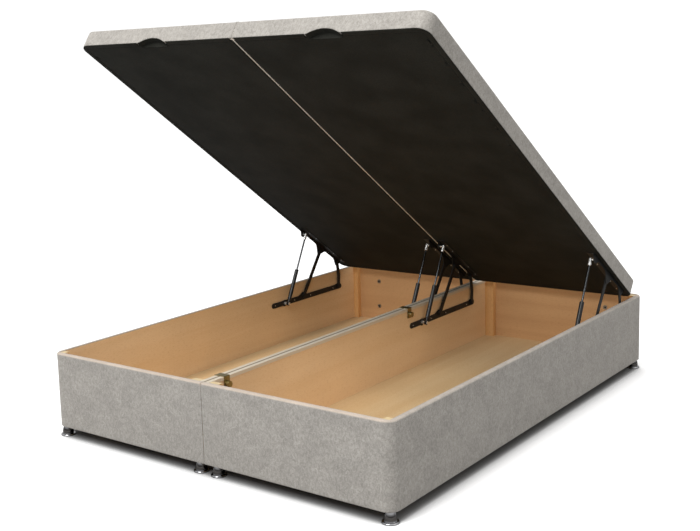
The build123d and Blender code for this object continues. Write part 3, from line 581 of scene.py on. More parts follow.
# Hinges. Bars, arms and rails are pressed from mild steel and powder coated black,
# a fine satin orange peel.
peel_size, peel_depth = 1.6 * MM, 0.2 * MM
powder_coat, tree, shader = new_finish("mild_steel_powder_coated_black", Specular_IOR_Level=0.35)
shader.inputs["Base Color"].default_value = linear("#121211")
place = add(tree, "ShaderNodeTexCoord", {}, {})
peel = add(
    tree, "ShaderNodeTexNoise", {}, {"Vector": place.outputs["Object"], "Scale": 1 / peel_size, "Detail": 2.0}
)
relief = add(tree, "ShaderNodeBump", {}, {"Height": peel, "Strength": 0.25, "Distance": peel_depth})
tree.links.new(relief.outputs["Normal"], shader.inputs["Normal"])
gloss = add(tree, "ShaderNodeMapRange", {}, {"Value": peel, "To Min": 0.45, "To Max": 0.65})
tree.links.new(gloss.outputs["Result"], shader.inputs["Roughness"])
hinges = ("left_side", "left_divider", "right_divider", "right_side")
for hinge in hinges:
    dress(powder_coat, f"{hinge}_base_bar", f"{hinge}_front_arm", f"{hinge}_rear_arm", f"{hinge}_lid_rail")
dress(powder_coat, "base_pivot_pins", "lid_pivot_pins", "rear_arm_studs")

# Gas lifts. The cylinder is drawn tube in satin black paint, the rod is hard-chromed
# steel, and the end fittings and studs are bright zinc.


def uneven_gloss(name, colour, patch, detail, shiniest, dullest, **values):
    """Finish of one colour, whose roughness wanders between two values in patches of this size."""
    finish, tree, shader = new_finish(name, **values)
    shader.inputs["Base Color"].default_value = linear(colour)
    place = add(tree, "ShaderNodeTexCoord", {}, {})
    patches = add(
        tree, "ShaderNodeTexNoise", {}, {"Vector": place.outputs["Object"], "Scale": 1 / patch, "Detail": detail}
    )
    gloss = add(tree, "ShaderNodeMapRange", {}, {"Value": patches, "To Min": shiniest, "To Max": dullest})
    tree.links.new(gloss.outputs["Result"], shader.inputs["Roughness"])
    return finish


# Paint with a slight wave, chrome with a film of oil, and zinc with a fine haze
gloss_black = uneven_gloss(
    "steel_tube_satin_painted_black", "#0e0e0f", 10 * MM, 2.0, 0.26, 0.38, Specular_IOR_Level=0.4
)
hard_chrome = uneven_gloss("steel_rod_hard_chromed", "#46484a", 20 * MM, 3.0, 0.08, 0.22, Metallic=1.0)
bright_zinc = uneven_gloss("zinc_plate_bright", "#efefed", 3 * MM, 3.0, 0.18, 0.36, Metallic=0.8)
for hinge in hinges:
    dress(gloss_black, f"{hinge}_gas_cylinder")
    dress(hard_chrome, f"{hinge}_gas_rod")
dress(bright_zinc, "strut_end_fittings", "strut_studs")

# Screws of the base bars and lid rails. Cold-formed pan heads with a cross recess,
# bright zinc plated, driven through the plates into the timber.


def new_tree(name, **inputs):
    """A Geometry Nodes tree with a geometry input and output and these inputs, and its sockets."""
    tree = bpy.data.node_groups.new(name, "GeometryNodeTree")
    tree.interface.new_socket("Geometry", in_out="INPUT", socket_type="NodeSocketGeometry")
    for label, value in inputs.items():
        kind = "Material" if value is None else "Int" if isinstance(value, int) else "Float"
        socket = tree.interface.new_socket(label, in_out="INPUT", socket_type=f"NodeSocket{kind}")
        if value is not None:
            socket.default_value = value
    tree.interface.new_socket("Geometry", in_out="OUTPUT", socket_type="NodeSocketGeometry")
    return tree, add(tree, "NodeGroupInput", {}, {}).outputs


def set_out(tree, given, points, shape, facing, least, most):
    """Close a tree: its shape on each point, turned at random about its own axis and made real."""
    spin = add(
        tree, "FunctionNodeRandomValue", {"data_type": "FLOAT"}, {2: least, 3: most, "Seed": given["Seed"]}
    )
    spin_turn = add(tree, "ShaderNodeCombineXYZ", {}, {"Z": spin.outputs[1]})
    spun = add(
        tree,
        "FunctionNodeRotateRotation",
        {"rotation_space": "LOCAL"},
        {"Rotation": facing, "Rotate By": spin_turn},
    )
    placed = add(
        tree, "GeometryNodeInstanceOnPoints", {}, {"Points": points, "Instance": shape, "Rotation": spun}
    )
    real = add(tree, "GeometryNodeRealizeInstances", {}, {"Geometry": placed})
    named = add(tree, "GeometryNodeSetMaterial", {}, {"Geometry": real, "Material": given["Finish"]})
    add(tree, "NodeGroupOutput", {}, {"Geometry": named})


def grown(name, tree, points, edges, finish, axes=None, **values):
    """Mesh that a tree grows from these points, with its inputs set before it is evaluated."""
    mesh = bpy.data.meshes.new(name)
    mesh.from_pydata([tuple(point) for point in points], edges, [])
    if axes:
        field = mesh.attributes.new("axis", "FLOAT_VECTOR", "POINT")
        for i, axis in enumerate(axes):
            field.data[i].vector = axis
    piece = bpy.data.objects.new(name, mesh)
    bpy.context.collection.objects.link(piece)
    modifier = piece.modifiers.new("grown", "NODES")
    modifier.node_group = tree
    for socket in tree.interface.items_tree:
        if socket.in_out == "INPUT" and socket.name in values:
            modifier[socket.identifier] = values[socket.name]
        if socket.in_out == "INPUT" and socket.name == "Finish":
            modifier[socket.identifier] = finish
    settle(piece)
    return piece


screw_tree, given = new_tree(
    "pan_head_screws",
    Head_Radius=5.5 * MM,
    Head_Height=2.4 * MM,
    Shank_Radius=2.4 * MM,
    Shank_Length=11.7 * MM,
    Slot=1.2 * MM,
    Seed=4,
    Finish=None,
)
tree = screw_tree
head_radius, head_height, slot_width = given["Head_Radius"], given["Head_Height"], given["Slot"]
blank = add(
    tree,
    "GeometryNodeMeshCylinder",
    {"fill_type": "TRIANGLE_FAN"},
    {"Vertices": 20, "Side Segments": 1, "Fill Segments": 4, "Radius": head_radius, "Depth": 1.0},
)

# The blank's top sinks towards its rim as a crown, and its underside is flat
crown_power, crown_fall = 2.6, -0.62
spot = add(tree, "GeometryNodeInputPosition", {}, {})
parts = add(tree, "ShaderNodeSeparateXYZ", {}, {"Vector": spot})
flat = add(tree, "ShaderNodeCombineXYZ", {}, {"X": parts.outputs["X"], "Y": parts.outputs["Y"]})
reach = add(tree, "ShaderNodeVectorMath", {"operation": "LENGTH"}, {0: flat})
share = add(tree, "ShaderNodeMath", {"operation": "DIVIDE"}, {0: reach.outputs["Value"], 1: head_radius})
fall = add(tree, "ShaderNodeMath", {"operation": "POWER"}, {0: share, 1: crown_power})
crown = add(tree, "ShaderNodeMath", {"operation": "MULTIPLY_ADD"}, {0: fall, 1: crown_fall, 2: 1.0})
crown_height = add(tree, "ShaderNodeMath", {"operation": "MULTIPLY"}, {0: crown, 1: head_height})
is_top = add(tree, "ShaderNodeMath", {"operation": "GREATER_THAN"}, {0: parts.outputs["Z"], 1: 0.0})
level = add(tree, "ShaderNodeMath", {"operation": "MULTIPLY"}, {0: crown_height, 1: is_top})
domed = add(
    tree, "ShaderNodeCombineXYZ", {}, {"X": parts.outputs["X"], "Y": parts.outputs["Y"], "Z": level}
)
head = add(tree, "GeometryNodeSetPosition", {}, {"Geometry": blank, "Position": domed})
lift = add(tree, "ShaderNodeCombineXYZ", {}, {"Z": head_height})
cut = add(tree, "GeometryNodeMeshBoolean", {"operation": "DIFFERENCE"}, {"Mesh 1": head})
for x_size, y_size in ((head_radius, slot_width), (slot_width, head_radius)):
    size = add(tree, "ShaderNodeCombineXYZ", {}, {"X": x_size, "Y": y_size, "Z": head_height})
    bar = add(tree, "GeometryNodeMeshCube", {}, {"Size": size})
    arm = add(tree, "GeometryNodeTransform", {}, {"Geometry": bar, "Translation": lift})
    tree.links.new(arm.outputs["Geometry"], cut.inputs["Mesh 2"])
shank = add(
    tree,
    "GeometryNodeMeshCylinder",
    {},
    {"Vertices": 12, "Radius": given["Shank_Radius"], "Depth": given["Shank_Length"]},
)
half_down = add(tree, "ShaderNodeMath", {"operation": "MULTIPLY"}, {0: given["Shank_Length"], 1: -0.5})
drop = add(tree, "ShaderNodeCombineXYZ", {}, {"Z": half_down})
shank_placed = add(tree, "GeometryNodeTransform", {}, {"Geometry": shank, "Translation": drop})
screw = add(tree, "GeometryNodeJoinGeometry", {}, {})
tree.links.new(cut.outputs["Mesh"], screw.inputs["Geometry"])
tree.links.new(shank_placed.outputs["Geometry"], screw.inputs["Geometry"])
axis = add(tree, "GeometryNodeInputNamedAttribute", {"data_type": "FLOAT_VECTOR"}, {"Name": "axis"})
facing = add(tree, "FunctionNodeAlignRotationToVector", {"axis": "Z"}, {"Vector": axis.outputs["Attribute"]})
set_out(tree, given, given["Geometry"], screw, facing, 0.0, 1.57)

# The panels' faces that carry the hinges, each with the way that its screws face, and the
# screws' places along each bar in mm
divider_face = 18 * MM
panel_faces = ((-board_inner_x, 1), (-divider_face, -1), (divider_face, 1), (board_inner_x, -1))
bar_thickness = 3 * MM
bar_level = 242 * MM
bar_screw_places = (308, 455, 582, 770)
points, axes = [], []
for face, inward in panel_faces:
    for place in bar_screw_places:
        points.append(Vector((face + inward * bar_thickness, place * MM, bar_level)))
        axes.append((inward, 0, 0))
bar_screws = grown("base_bar_screws_pan_head", screw_tree, points, [], bright_zinc, axes)
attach(bar_screws, "base")
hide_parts("base_bar_screws")

lid_turn = math.radians(34)
lid_origin = Vector((0, 884 * MM, 331 * MM))
lid_along = Vector((0, -math.cos(lid_turn), math.sin(lid_turn)))
lid_up = Vector((0, math.sin(lid_turn), math.cos(lid_turn)))


def on_lid(x, s, n):
    """World place of a point of the open lid: s from its head end, n up from its underside."""
    return Vector((x, 0, 0)) + lid_origin + lid_along * s + lid_up * n


rail_screw_inset = 25.2 * MM
rail_screw_places = (83, 162, 330, 388)
points = []
for face, inward in panel_faces:
    for place in rail_screw_places:
        points.append(on_lid(face + inward * rail_screw_inset, place * MM, 0))
axes = [tuple(-lid_up)] * len(points)
rail_screws = grown("lid_rail_screws_pan_head", screw_tree, points, [], bright_zinc, axes)
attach(rail_screws, "lid")
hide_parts("lid_rail_screws")

# Lid frame. Sawn and planed whitewood rails and slats under a thin board. Only the
# two centre rails show, as the pale strip between the linings.
frame_wood = beech_foil("whitewood_planed", 1, "#f6f0e6", "#ece4d6", "#d3c6b2")
dress(frame_wood, "left_lid_frame", "right_lid_frame", "lid_slats", "left_lid_deck", "right_lid_deck")

# Lid covers. The same suede over each lid half: a band round three sides, rolled over
# the top edge and sewn to a flat top panel, and turned under the lower edge.
lid_thickness = 68 * MM
lid_border_drop = 2.4 * MM
lid_roll = 8 * MM
lid_hem = 12 * MM
hold_x = 375 * MM
hold_half_width = 66 * MM
hold_height = 20 * MM
hold_depth = 30 * MM
hold_radius = (hold_half_width**2 + hold_height**2) / (2 * hold_height)


def hold_level(x):
    """Height of the hand-hold's arch above the lid's underside, 0 outside it."""
    reach = hold_radius**2 - (x - hold_x) ** 2
    if reach <= 0 or abs(x - hold_x) >= hold_half_width:
        return 0.0
    return max(0.0, math.sqrt(reach) - (hold_radius - hold_height))


lid_outline = three_sides(6 * MM, corner_radius, 3 * MM)
centre_count = 200
for i in range(1, centre_count):
    y = (half_length - 3 * MM) * (1 - 2 * i / centre_count)
    lid_outline.append((seam_x, y, -1, 0, 0.0, "centre"))

# How far in from the edge the tucked seam runs, how near the seams the tuck's mitres
# start, and the steps of the line on which the flat panel's rings of quads close
seam_inset = 18 * MM
least_reach = 0.45
spine_head, spine_foot, spine_step = 420 * MM, 1580 * MM, 10 * MM
seam_creases = 45 * MM
band_rows = 12
rings = 16
columns, uvs = [], []
for along, place in with_distance(lid_outline):
    x, y, out_x, out_y, share, side = place
    at_seam = side.startswith("seam")
    s = half_length - y
    inward = Vector((-out_x, out_y))
    arch = hold_level(x) if side == "foot" else 0.0
    low = max(lid_border_drop, arch)
    hem = 3 * MM if arch > lid_border_drop else lid_hem
    if side == "centre":
        low = lid_thickness - lid_roll - 6 * MM
        hem = 0.5 * MM
    if at_seam:
        hem = 2 * MM
    low_roll = min(2 * MM, hem)
    section = [(hem, low, 0.0), ((hem + low_roll) / 2, low, 0.0)]
    for sine, cosine in quarter_turn(3):
        section.append((low_roll * (1 - sine), low + low_roll * (1 - cosine), 0.0))
    wall_low, wall_high = low + low_roll, lid_thickness - lid_roll
    for i in range(1, band_rows):
        level = wall_low + (wall_high - wall_low) * i / band_rows
        section.append((0.0, level, math.sin(math.pi * i / band_rows)))
    roll = 3 * MM if side == "centre" or at_seam else lid_roll
    for sine, cosine in quarter_turn(5):
        section.append((roll * (1 - cosine), lid_thickness - roll * (1 - sine), 0.0))
    column = []
    for step_in, level, ease in section:
        bulge = 0.0
        if ease > 0 and side != "centre":
            broad = wander(along, level, 200 * MM, 200 * MM, 21.7)
            ripple = wander(along, level, 45 * MM, 60 * MM, 25.1)
            crease = wander(along + 0.65 * level, level, 13 * MM, 50 * MM, 29.4)
            pull = corner_weight(side, share)
            if side == "foot":
                pull += 0.8 * math.exp(-abs(x - seam_x) / seam_creases)
            bulge = (0.6 * broad + 0.35 * ripple + (0.12 + 0.55 * pull) * crease) * MM
            bulge *= min(1.0, ease * 2.5)
        flat = Vector((x, s)) + inward * (step_in - bulge)
        column.append(on_lid(flat.x, flat.y, level))
    flat_edge = Vector((x, s))
    reach = 1.0
    if at_seam:
        flat_edge = Vector((seam_x, 2 * half_length if side == "seam_foot" else 0.0))
        inward = Vector((1, -1 if side == "seam_foot" else 1))
    if side == "centre" or at_seam:
        reach = least_reach
    elif side in ("foot", "head"):
        reach = min(1.0, max(least_reach, (x - seam_x) / (seam_inset + 2 * MM)))
    deep = 0.1 + 0.9 * (reach - least_reach) / (1 - least_reach)
    for step_on, drop in ((-3, 0.0), (-1, -1.0), (0, -1.8), (1, -1.0)):
        flat = flat_edge + inward * (seam_inset + step_on * MM) * reach
        column.append(on_lid(flat.x, flat.y, lid_thickness + drop * deep * MM))
    start = flat_edge + inward * (seam_inset + 2 * MM) * reach
    on_spine = min(max(s, spine_head), spine_foot)
    spine = Vector((hold_x, round(on_spine / spine_step) * spine_step))
    for i in range(rings + 1):
        flat = start.lerp(spine, i / rings)
        crown = 0.35 * MM * (wander(flat.x, flat.y, 250 * MM, 250 * MM, 41.0) - 1)
        column.append(on_lid(flat.x, flat.y, lid_thickness + crown * min(1.0, i / 2)))
    columns.append([tuple(point) for point in column])
    for j, (point, run) in enumerate(zip(column, heights_up(column))):
        if j >= len(column) - rings - 1:
            offset = point - lid_origin
            uvs.append((offset.x + 8.0, offset.dot(lid_along)))
        else:
            uvs.append((along, run))
right_lid_cover = grid_mesh("right_lid_cloth", columns, uvs, closed=True)
shell = bmesh.new()
shell.from_mesh(right_lid_cover.data)
bmesh.ops.remove_doubles(shell, verts=shell.verts, dist=0.01 * MM)
shell.to_mesh(right_lid_cover.data)
shell.free()
line_with_wall(right_lid_cover, cloth_thickness)
left_lid_cover = opposite(right_lid_cover, "left_lid_cloth")
for piece, half in ((right_lid_cover, "right"), (left_lid_cover, "left")):
    piece.data.materials.append(suede)
    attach(piece, "lid")
    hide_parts(f"{half}_lid_cover")

# Lining. Black spunbond cloth stapled under each lid half, slack between the slats, with
# a folded border over the cover's raw edge and a lined recess behind each hand-hold.
strip_half_width = 4 * MM
lining_inset = 14 * MM
sheet_left, sheet_right = strip_half_width, half_width - lining_inset
sheet_head, sheet_foot = lining_inset, 2 * half_length - lining_inset
x_count, s_count = 74, 196
tight_edge, centre_rail = 60 * MM, 30 * MM
hinge_end, hinge_left, hinge_right, by_hinge = 500 * MM, 70 * MM, 680 * MM, 80 * MM


def ramp(distance, length):
    """0 to 1 as a distance grows from nothing to this length."""
    return min(1.0, max(0.0, distance / length))


def lining_sag(x, s):
    """How far the lining hangs below its line: slack between rails, tight at its edges and hinges."""
    edge = min(x - sheet_left, sheet_right - x, s - sheet_head, sheet_foot - s)
    free = ramp(edge, tight_edge) * ramp(x - centre_rail, tight_edge)
    if s < hinge_end:
        free *= ramp(x - hinge_left, by_hinge) * ramp(hinge_right - x, by_hinge)
    slack = 0.5 + 0.5 * wander(x, s, 330 * MM, 270 * MM, 51.0)
    pull = wander(x + s, x - s, 100 * MM, 500 * MM, 57.0)
    fine = wander(x, s, 60 * MM, 40 * MM, 61.0)
    return free * (1.5 * slack + 0.55 * pull + 0.22 * fine) * MM


lining_corner = 26 * MM
columns, uvs = [], []
for i in range(x_count + 1):
    x = sheet_left + (sheet_right - sheet_left) * i / x_count
    column = []
    for j in range(s_count + 1):
        s = sheet_head + (sheet_foot - sheet_head) * j / s_count
        dx = max(0.0, x - (sheet_right - lining_corner))
        ds = max(0.0, s - (sheet_foot - lining_corner)) - max(0.0, sheet_head + lining_corner - s)
        far = math.hypot(dx, ds)
        px, ps = x, s
        if dx > 0 and far > lining_corner:
            corner_s = sheet_foot - lining_corner if ds > 0 else sheet_head + lining_corner
            px = sheet_right - lining_corner + dx * lining_corner / far
            ps = corner_s + ds * lining_corner / far
        if abs(x - hold_x) < hold_half_width - 3 * MM:
            ps = min(ps, 2 * half_length - hold_depth)
        column.append(tuple(on_lid(px, ps, lid_border_drop - lining_sag(px, ps))))
        uvs.append((px, ps))
    columns.append(column)
right_lining = grid_mesh("right_lining_cloth", columns, uvs)
right_lining.data.flip_normals()
line_with_wall(right_lining, 0.5 * MM)


def lined_recess(name):
    """Ceiling and back of the hand-hold, in the lining's cloth."""
    columns, uvs = [], []
    count, ceiling_count, back_count = 44, 8, 6
    for i in range(count + 1):
        x = hold_x - hold_half_width + 2 * hold_half_width * i / count
        level = max(hold_level(x), 0.2 * MM)
        column = []
        for j in range(ceiling_count + 1):
            s = 2 * half_length - 0.8 * MM - (hold_depth - 1.8 * MM) * j / ceiling_count
            soft = 0.3 * MM * wander(x, s, 20 * MM, 20 * MM, 71.0)
            ceiling = level - 0.7 * MM + soft * min(1, j / 2)
            column.append(tuple(on_lid(x, s, max(ceiling, 0.25 * MM))))
        back = 2 * half_length - hold_depth + 1 * MM
        for j in range(1, back_count + 1):
            column.append(tuple(on_lid(x, back, (level - 0.3 * MM) * (1 - j / back_count))))
        columns.append(column)
        uvs.extend([(x, 0.003 * j) for j in range(len(column))])
    return grid_mesh(name, columns, uvs)


right_recess = lined_recess("right_recess_lining")


def kept_runs(places, wanted):
    """Runs of neighbouring places of an outline for which wanted(x, side) holds."""
    runs = [[]]
    for place in places:
        if wanted(place[0], place[5]):
            runs[-1].append(place)
        elif runs[-1]:
            runs.append([])
    return [run for run in runs if len(run) > 1]


def under_border(x, side):
    """Whether the border strip covers this place of the lid's outline."""
    if side.startswith("seam") or side == "centre" or x < strip_half_width:
        return False
    return side != "foot" or abs(x - hold_x) >= hold_half_width + 1 * MM


def lining_border(name):
    """Folded strip over the cover's hem, broken at the hand-hold."""
    # Its section: how far in from the edge and how high over the lid's underside, in mm
    inner_fold = ((19, 2.3), (18.6, 1.2), (17.6, 0.4))
    outer_fold = ((1.6, 0.2), (0.6, 0.7), (0.3, 2.2))
    profile = (*inner_fold, (14, 0.15), (10, 0.05), (6, 0.1), *outer_fold)
    rows = len(profile)
    verts, faces, uvs = [], [], []
    for run in kept_runs(lid_outline, under_border):
        first = len(verts)
        for along, (x, y, out_x, out_y, _, _) in with_distance(run):
            wave = 0.12 * MM * (1 + wander(along, 0, 50 * MM, 50 * MM, 81.0))
            for step_in, level in profile:
                flat = Vector((x, half_length - y)) + Vector((-out_x, out_y)) * step_in * MM
                verts.append(tuple(on_lid(flat.x, flat.y, level * MM + wave)))
                uvs.append((along, step_in * MM))
        for i in range(len(run) - 1):
            for j in range(rows - 1):
                a = first + i * rows + j
                faces.append((a, a + 1, a + rows + 1, a + rows))
        faces.append([first + j for j in range(rows)][::-1])
        faces.append([first + (len(run) - 1) * rows + j for j in range(rows)])
    return cloth_mesh(name, verts, faces, uvs)


right_border = lining_border("right_lining_border")
for piece in (right_recess, right_border):
    shell = bmesh.new()
    shell.from_mesh(piece.data)
    bmesh.ops.recalc_face_normals(shell, faces=shell.faces)
    shell.to_mesh(piece.data)
    shell.free()

# Spunbond polypropylene: matt black, a soft fibrous bond pattern, greyer where it catches
# light. The fibres and bond points are drawn coarser than the real ones, so that they show.
fibre_size, bond_size, cloud_size, fibre_depth = 4 * MM, 3 * MM, 150 * MM, 0.5 * MM
spunbond, tree, shader = new_finish("polypropylene_spunbond_black", Roughness=0.75, Specular_IOR_Level=0.12)
place = add(tree, "ShaderNodeTexCoord", {}, {})
fibre = add(
    tree,
    "ShaderNodeTexNoise",
    {},
    {"Vector": place.outputs["Object"], "Scale": 1 / fibre_size, "Detail": 5.0, "Roughness": 0.7},
)
bond = add(tree, "ShaderNodeTexVoronoi", {}, {"Vector": place.outputs["Object"], "Scale": 1 / bond_size})
cloudy = add(
    tree, "ShaderNodeTexNoise", {}, {"Vector": place.outputs["Object"], "Scale": 1 / cloud_size, "Detail": 4.0}
)
cloud_range = add(tree, "ShaderNodeMapRange", {}, {"Value": cloudy, "From Min": 0.35, "From Max": 0.65})
tone = add(
    tree, "ShaderNodeMix", {"data_type": "RGBA"}, {0: cloud_range, 6: linear("#1a1a16"), 7: linear("#242420")}
)
speck = add(
    tree,
    "ShaderNodeMapRange",
    {},
    {"Value": fibre, "From Min": 0.3, "From Max": 0.7, "To Min": 0.6, "To Max": 1.45},
)
specked = add(tree, "ShaderNodeVectorMath", {"operation": "SCALE"}, {0: tone.outputs[2], "Scale": speck})
tree.links.new(specked.outputs["Vector"], shader.inputs["Base Color"])
height = add(tree, "ShaderNodeMath", {"operation": "MULTIPLY_ADD"}, {0: bond, 1: 0.6, 2: fibre})
relief = add(tree, "ShaderNodeBump", {}, {"Height": height, "Strength": 0.3, "Distance": fibre_depth})
tree.links.new(relief.outputs["Normal"], shader.inputs["Normal"])

left_lining = opposite(right_lining, "left_lining_cloth")
left_recess = opposite(right_recess, "left_recess_lining")
left_border = opposite(right_border, "left_lining_border")
for half, cloth, recess, border in (
    ("right", right_lining, right_recess, right_border),
    ("left", left_lining, left_recess, left_border),
):
    for piece in (cloth, recess, border):
        piece.data.materials.append(spunbond)
        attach(piece, "lid")
    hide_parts(f"{half}_lid_lining")

# Staples and stitches. Wire staples hold the lining beside its border, blackened, and the
# base covers' hems, zinc plated. A lock stitch in grey thread joins each lid cover's band
# to its top.
wire_tree, given = new_tree(
    "wires_along_a_path",
    Spacing=45 * MM,
    Length=9.5 * MM,
    Dip=1.2 * MM,
    Bend=6.0,
    Radius=0.45 * MM,
    Steps=7,
    Sides=5,
    Jitter=0.0,
    Seed=3,
    Finish=None,
)
tree = wire_tree
curve = add(tree, "GeometryNodeMeshToCurve", {}, {"Mesh": given["Geometry"]})
even = add(tree, "GeometryNodeResampleCurve", {"mode": "LENGTH"}, {"Curve": curve, "Length": given["Spacing"]})
tangent = add(tree, "GeometryNodeInputTangent", {}, {})
facing = add(tree, "FunctionNodeAlignRotationToVector", {"axis": "X", "pivot_axis": "Z"}, {"Vector": tangent})
least = add(tree, "ShaderNodeMath", {"operation": "MULTIPLY"}, {0: given["Jitter"], 1: -1.0})

# One wire is a straight line whose ends dip as a power of the distance from its middle
line = add(tree, "GeometryNodeCurvePrimitiveLine", {}, {"Start": (-0.5, 0, 0), "End": (0.5, 0, 0)})
cut_line = add(tree, "GeometryNodeResampleCurve", {"mode": "COUNT"}, {"Curve": line, "Count": given["Steps"]})
spot = add(tree, "GeometryNodeInputPosition", {}, {})
parts = add(tree, "ShaderNodeSeparateXYZ", {}, {"Vector": spot})
reach = add(tree, "ShaderNodeMath", {"operation": "ABSOLUTE"}, {0: parts.outputs["X"]})
share = add(tree, "ShaderNodeMath", {"operation": "MULTIPLY"}, {0: reach, 1: 2.0})
bend = add(tree, "ShaderNodeMath", {"operation": "POWER"}, {0: share, 1: given["Bend"]})
dip = add(tree, "ShaderNodeMath", {"operation": "MULTIPLY"}, {0: bend, 1: given["Dip"]})
down = add(tree, "ShaderNodeMath", {"operation": "MULTIPLY"}, {0: dip, 1: -1.0})
length = add(tree, "ShaderNodeMath", {"operation": "MULTIPLY"}, {0: parts.outputs["X"], 1: given["Length"]})
bent_place = add(tree, "ShaderNodeCombineXYZ", {}, {"X": length, "Z": down})
bent = add(tree, "GeometryNodeSetPosition", {}, {"Geometry": cut_line, "Position": bent_place})
round_wire = add(
    tree, "GeometryNodeCurvePrimitiveCircle", {}, {"Resolution": given["Sides"], "Radius": given["Radius"]}
)
wire = add(tree, "GeometryNodeCurveToMesh", {}, {"Curve": bent, "Profile Curve": round_wire, "Fill Caps": True})
set_out(tree, given, even, wire, facing, least, given["Jitter"])


def rows_of_wire(name, runs, finish, place, body, slot, **values):
    """Staples or stitches along flat runs, set in their place on a body, for both halves."""
    points, edges = [], []
    for run in runs:
        edges += [(len(points) + i, len(points) + i + 1) for i in range(len(run) - 1)]
        points += [(x, y, 0.0) for x, y in run]
    right = grown(f"right_{name}", wire_tree, points, edges, finish, **values)
    right.data.transform(place)
    for piece in (right, opposite(right, f"left_{name}")):
        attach(piece, body)


def frame_of(origin, x_way, y_way, z_way):
    """Matrix that puts a flat run on a surface, with its third axis out of the surface."""
    turned = Matrix((x_way, y_way, z_way)).transposed().to_4x4()
    return Matrix.Translation(origin) @ turned


def inset_runs(places, inset, wanted):
    """Runs of an outline's wanted places, moved in from the edge, as (x, distance from the head end)."""
    runs = []
    for run in kept_runs(places, wanted):
        if len(run) > 3:
            moved = [(x - out_x * inset, y - out_y * inset) for x, y, out_x, out_y, _, _ in run]
            runs.append([(x, half_length - y) for x, y in moved])
    return runs


right_way = Vector((1, 0, 0))
straight_sides = ("foot", "head", "outer")
lid_sides = (*straight_sides, "corner_head", "corner_foot")

# How far in from the edge each row runs, and how far from the middle it starts
lining_row, lining_start = 23 * MM, 40 * MM
hem_row, hem_start = 24 * MM, 60 * MM
stitch_row, stitch_start = seam_inset + 4 * MM, 26 * MM


def by_border(x, side):
    """Whether the lining is stapled beside this place: not in the middle or at the hand-hold."""
    by_hold = side == "foot" and abs(x - hold_x) <= hold_half_width + 12 * MM
    return side in lid_sides and x > lining_start and not by_hold


# Wire blackened in oil, dull and nearly black, with slightly paler rubbed patches
wire_black = mottled("steel_wire_blackened", 2 * MM, 2.0, "#1c1b1a", "#3a3937", Metallic=1.0, Roughness=0.5)
under_lid = frame_of(lid_origin + lid_up * 1.6 * MM, right_way, lid_along, -lid_up)
border_runs = inset_runs(lid_outline, lining_row, by_border)
rows_of_wire("lining_staples", border_runs, wire_black, under_lid, "lid", "black_steel", Jitter=0.1)
hem_face = Vector((0, half_length, base_low - 0.2 * MM))
under_base = frame_of(hem_face, right_way, Vector((0, -1, 0)), Vector((0, 0, -1)))
hem_runs = inset_runs(outline, hem_row, lambda x, side: side in straight_sides and x > hem_start)
hem_values = {"Spacing": 60 * MM, "Jitter": 0.12}
rows_of_wire("hem_staples", hem_runs, zinc_plate, under_base, "base", "bright_screw", **hem_values)

# Spun polyester thread, slightly lighter than the cloth, its plies drawn as fine flecks
thread = mottled("polyester_thread_grey", 0.8 * MM, 1.0, "#a9a49d", "#cbc7c1", Roughness=0.6)
over_lid = frame_of(lid_origin + lid_up * (lid_thickness - 0.1 * MM), right_way, -lid_along, lid_up)
top_runs = inset_runs(lid_outline, stitch_row, lambda x, side: side in lid_sides and x > stitch_start)
top_runs = [[(x, -s) for x, s in run] for run in top_runs]
rows_of_wire(
    "top_stitches",
    top_runs,
    thread,
    over_lid,
    "lid",
    "cover_fabric",
    Spacing=5.5 * MM,
    Length=4.2 * MM,
    Dip=0.7 * MM,
    Bend=2.0,
    Radius=0.35 * MM,
    Steps=4,
    Sides=4,
)

# Studio. A white floor, a soft sky, one large soft light in front, a weak warm fill from
# the right, and the camera where the photograph was taken from. A painted shadow darkens
# the paper where the base stands close over it.
floor_reach = 30
paper_patch, contact_reach = 500 * MM, 135 * MM
floor_corners = [(x * floor_reach, y * floor_reach, 0) for x, y in ((-1, -1), (1, -1), (1, 1), (-1, 1))]
floor_mesh = bpy.data.meshes.new("studio_floor")
floor_mesh.from_pydata(floor_corners, [], [(0, 1, 2, 3)])
floor = bpy.data.objects.new("studio_floor", floor_mesh)
bpy.context.collection.objects.link(floor)
floor_finish, tree, shader = new_finish("studio_paper_white")
tree.nodes.remove(shader)
seen = add(tree, "ShaderNodeLightPath", {}, {})
place = add(tree, "ShaderNodeTexCoord", {}, {})
paper = add(
    tree, "ShaderNodeTexNoise", {}, {"Vector": place.outputs["Object"], "Scale": 1 / paper_patch, "Detail": 2.0}
)
bounced = add(tree, "ShaderNodeMapRange", {}, {"Value": paper, "To Min": 0.42, "To Max": 0.45})
shown = add(tree, "ShaderNodeMapRange", {}, {"Value": paper, "To Min": 1.12, "To Max": 1.16})
level = add(tree, "ShaderNodeMix", {}, {0: seen, 2: bounced, 3: shown})
# Painted shadow: ambient occlusion darkens the floor's colour near the base
open_sky = add(tree, "ShaderNodeAmbientOcclusion", {"samples": 16}, {"Distance": contact_reach})
painted_contact_shadow = add(
    tree,
    "ShaderNodeMapRange",
    {"interpolation_type": "SMOOTHSTEP"},
    {"Value": open_sky.outputs["AO"], "From Min": 0.25, "From Max": 0.8, "To Min": 0.17},
)
grounded = add(tree, "ShaderNodeMath", {"operation": "MULTIPLY"}, {0: level, 1: painted_contact_shadow})
matt = add(tree, "ShaderNodeBsdfDiffuse", {}, {"Color": grounded})
tree.links.new(matt.outputs["BSDF"], tree.nodes["Material Output"].inputs["Surface"])
floor.data.materials.append(floor_finish)
floor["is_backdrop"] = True

sky = bpy.data.worlds.new("studio_sky")
bpy.context.scene.world = sky
sky.use_nodes = True
tree = sky.node_tree
seen = add(tree, "ShaderNodeLightPath", {}, {})
place = add(tree, "ShaderNodeTexCoord", {}, {})
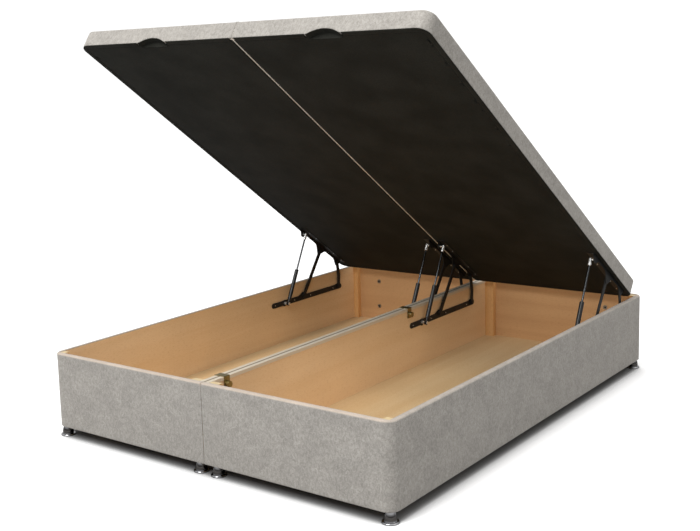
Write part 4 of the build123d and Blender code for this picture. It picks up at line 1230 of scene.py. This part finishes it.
height = add(tree, "ShaderNodeSeparateXYZ", {}, {"Vector": place.outputs["Generated"]})
overhead = add(tree, "ShaderNodeMapRange", {}, {"Value": height.outputs["Z"], "To Min": 0.14, "To Max": 1.45})
level = add(tree, "ShaderNodeMix", {}, {0: seen, 2: overhead, 3: 1.1})
soft = tree.nodes["Background"]
soft.inputs["Color"].default_value = (1, 1, 1, 1)
tree.links.new(level.outputs[0], soft.inputs["Strength"])

light_size = 2.6
lit_place = Vector((0, 0, 0.3))


def soft_light(name, place, power, colour):
    """Square soft light of one colour at a place, turned to the bed."""
    lamp = bpy.data.lights.new(name, "AREA")
    lamp.shape = "SQUARE"
    lamp.size = light_size
    lamp.energy = power
    lamp.color = colour
    light = bpy.data.objects.new(name, lamp)
    bpy.context.collection.objects.link(light)
    light.location = place
    light.rotation_euler = (lit_place - Vector(place)).to_track_quat("-Z", "Y").to_euler()


soft_light("key_light", (0.1, -4.15, 3.95), 206, (1, 1, 1))
soft_light("fill_light", (4.4, -0.2, 3.1), 26, (1, 0.975, 0.93))

# The camera as fitted to the photograph, with its focal length and middle in pixels, and
# its place in metres
picture_width, picture_height = 700, 531
focal_length, middle_column, middle_row = 1093.15, 280.32, 235.35
camera_place = (2.41446, -3.56465, 1.36923)
view = bpy.data.cameras.new("camera")
view.sensor_width = 36.0
view.lens = focal_length / picture_width * view.sensor_width
view.shift_x = (picture_width / 2 - middle_column) / picture_width
view.shift_y = (middle_row - picture_height / 2) / picture_width
camera = bpy.data.objects.new("camera", view)
bpy.context.collection.objects.link(camera)
camera_right = Vector((0.7839, 0.6199, -0.0353)).normalized()
camera_back = Vector((0.6169, -0.7712, 0.1574)).normalized()
camera_up = camera_back.cross(camera_right).normalized()
camera_right = camera_up.cross(camera_back).normalized()
turn = Matrix((camera_right, camera_up, camera_back)).transposed().to_4x4()
camera.matrix_world = Matrix.Translation(camera_place) @ turn
bpy.context.scene.camera = camera
bpy.context.scene.view_settings.view_transform = "Standard"

low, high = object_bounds()
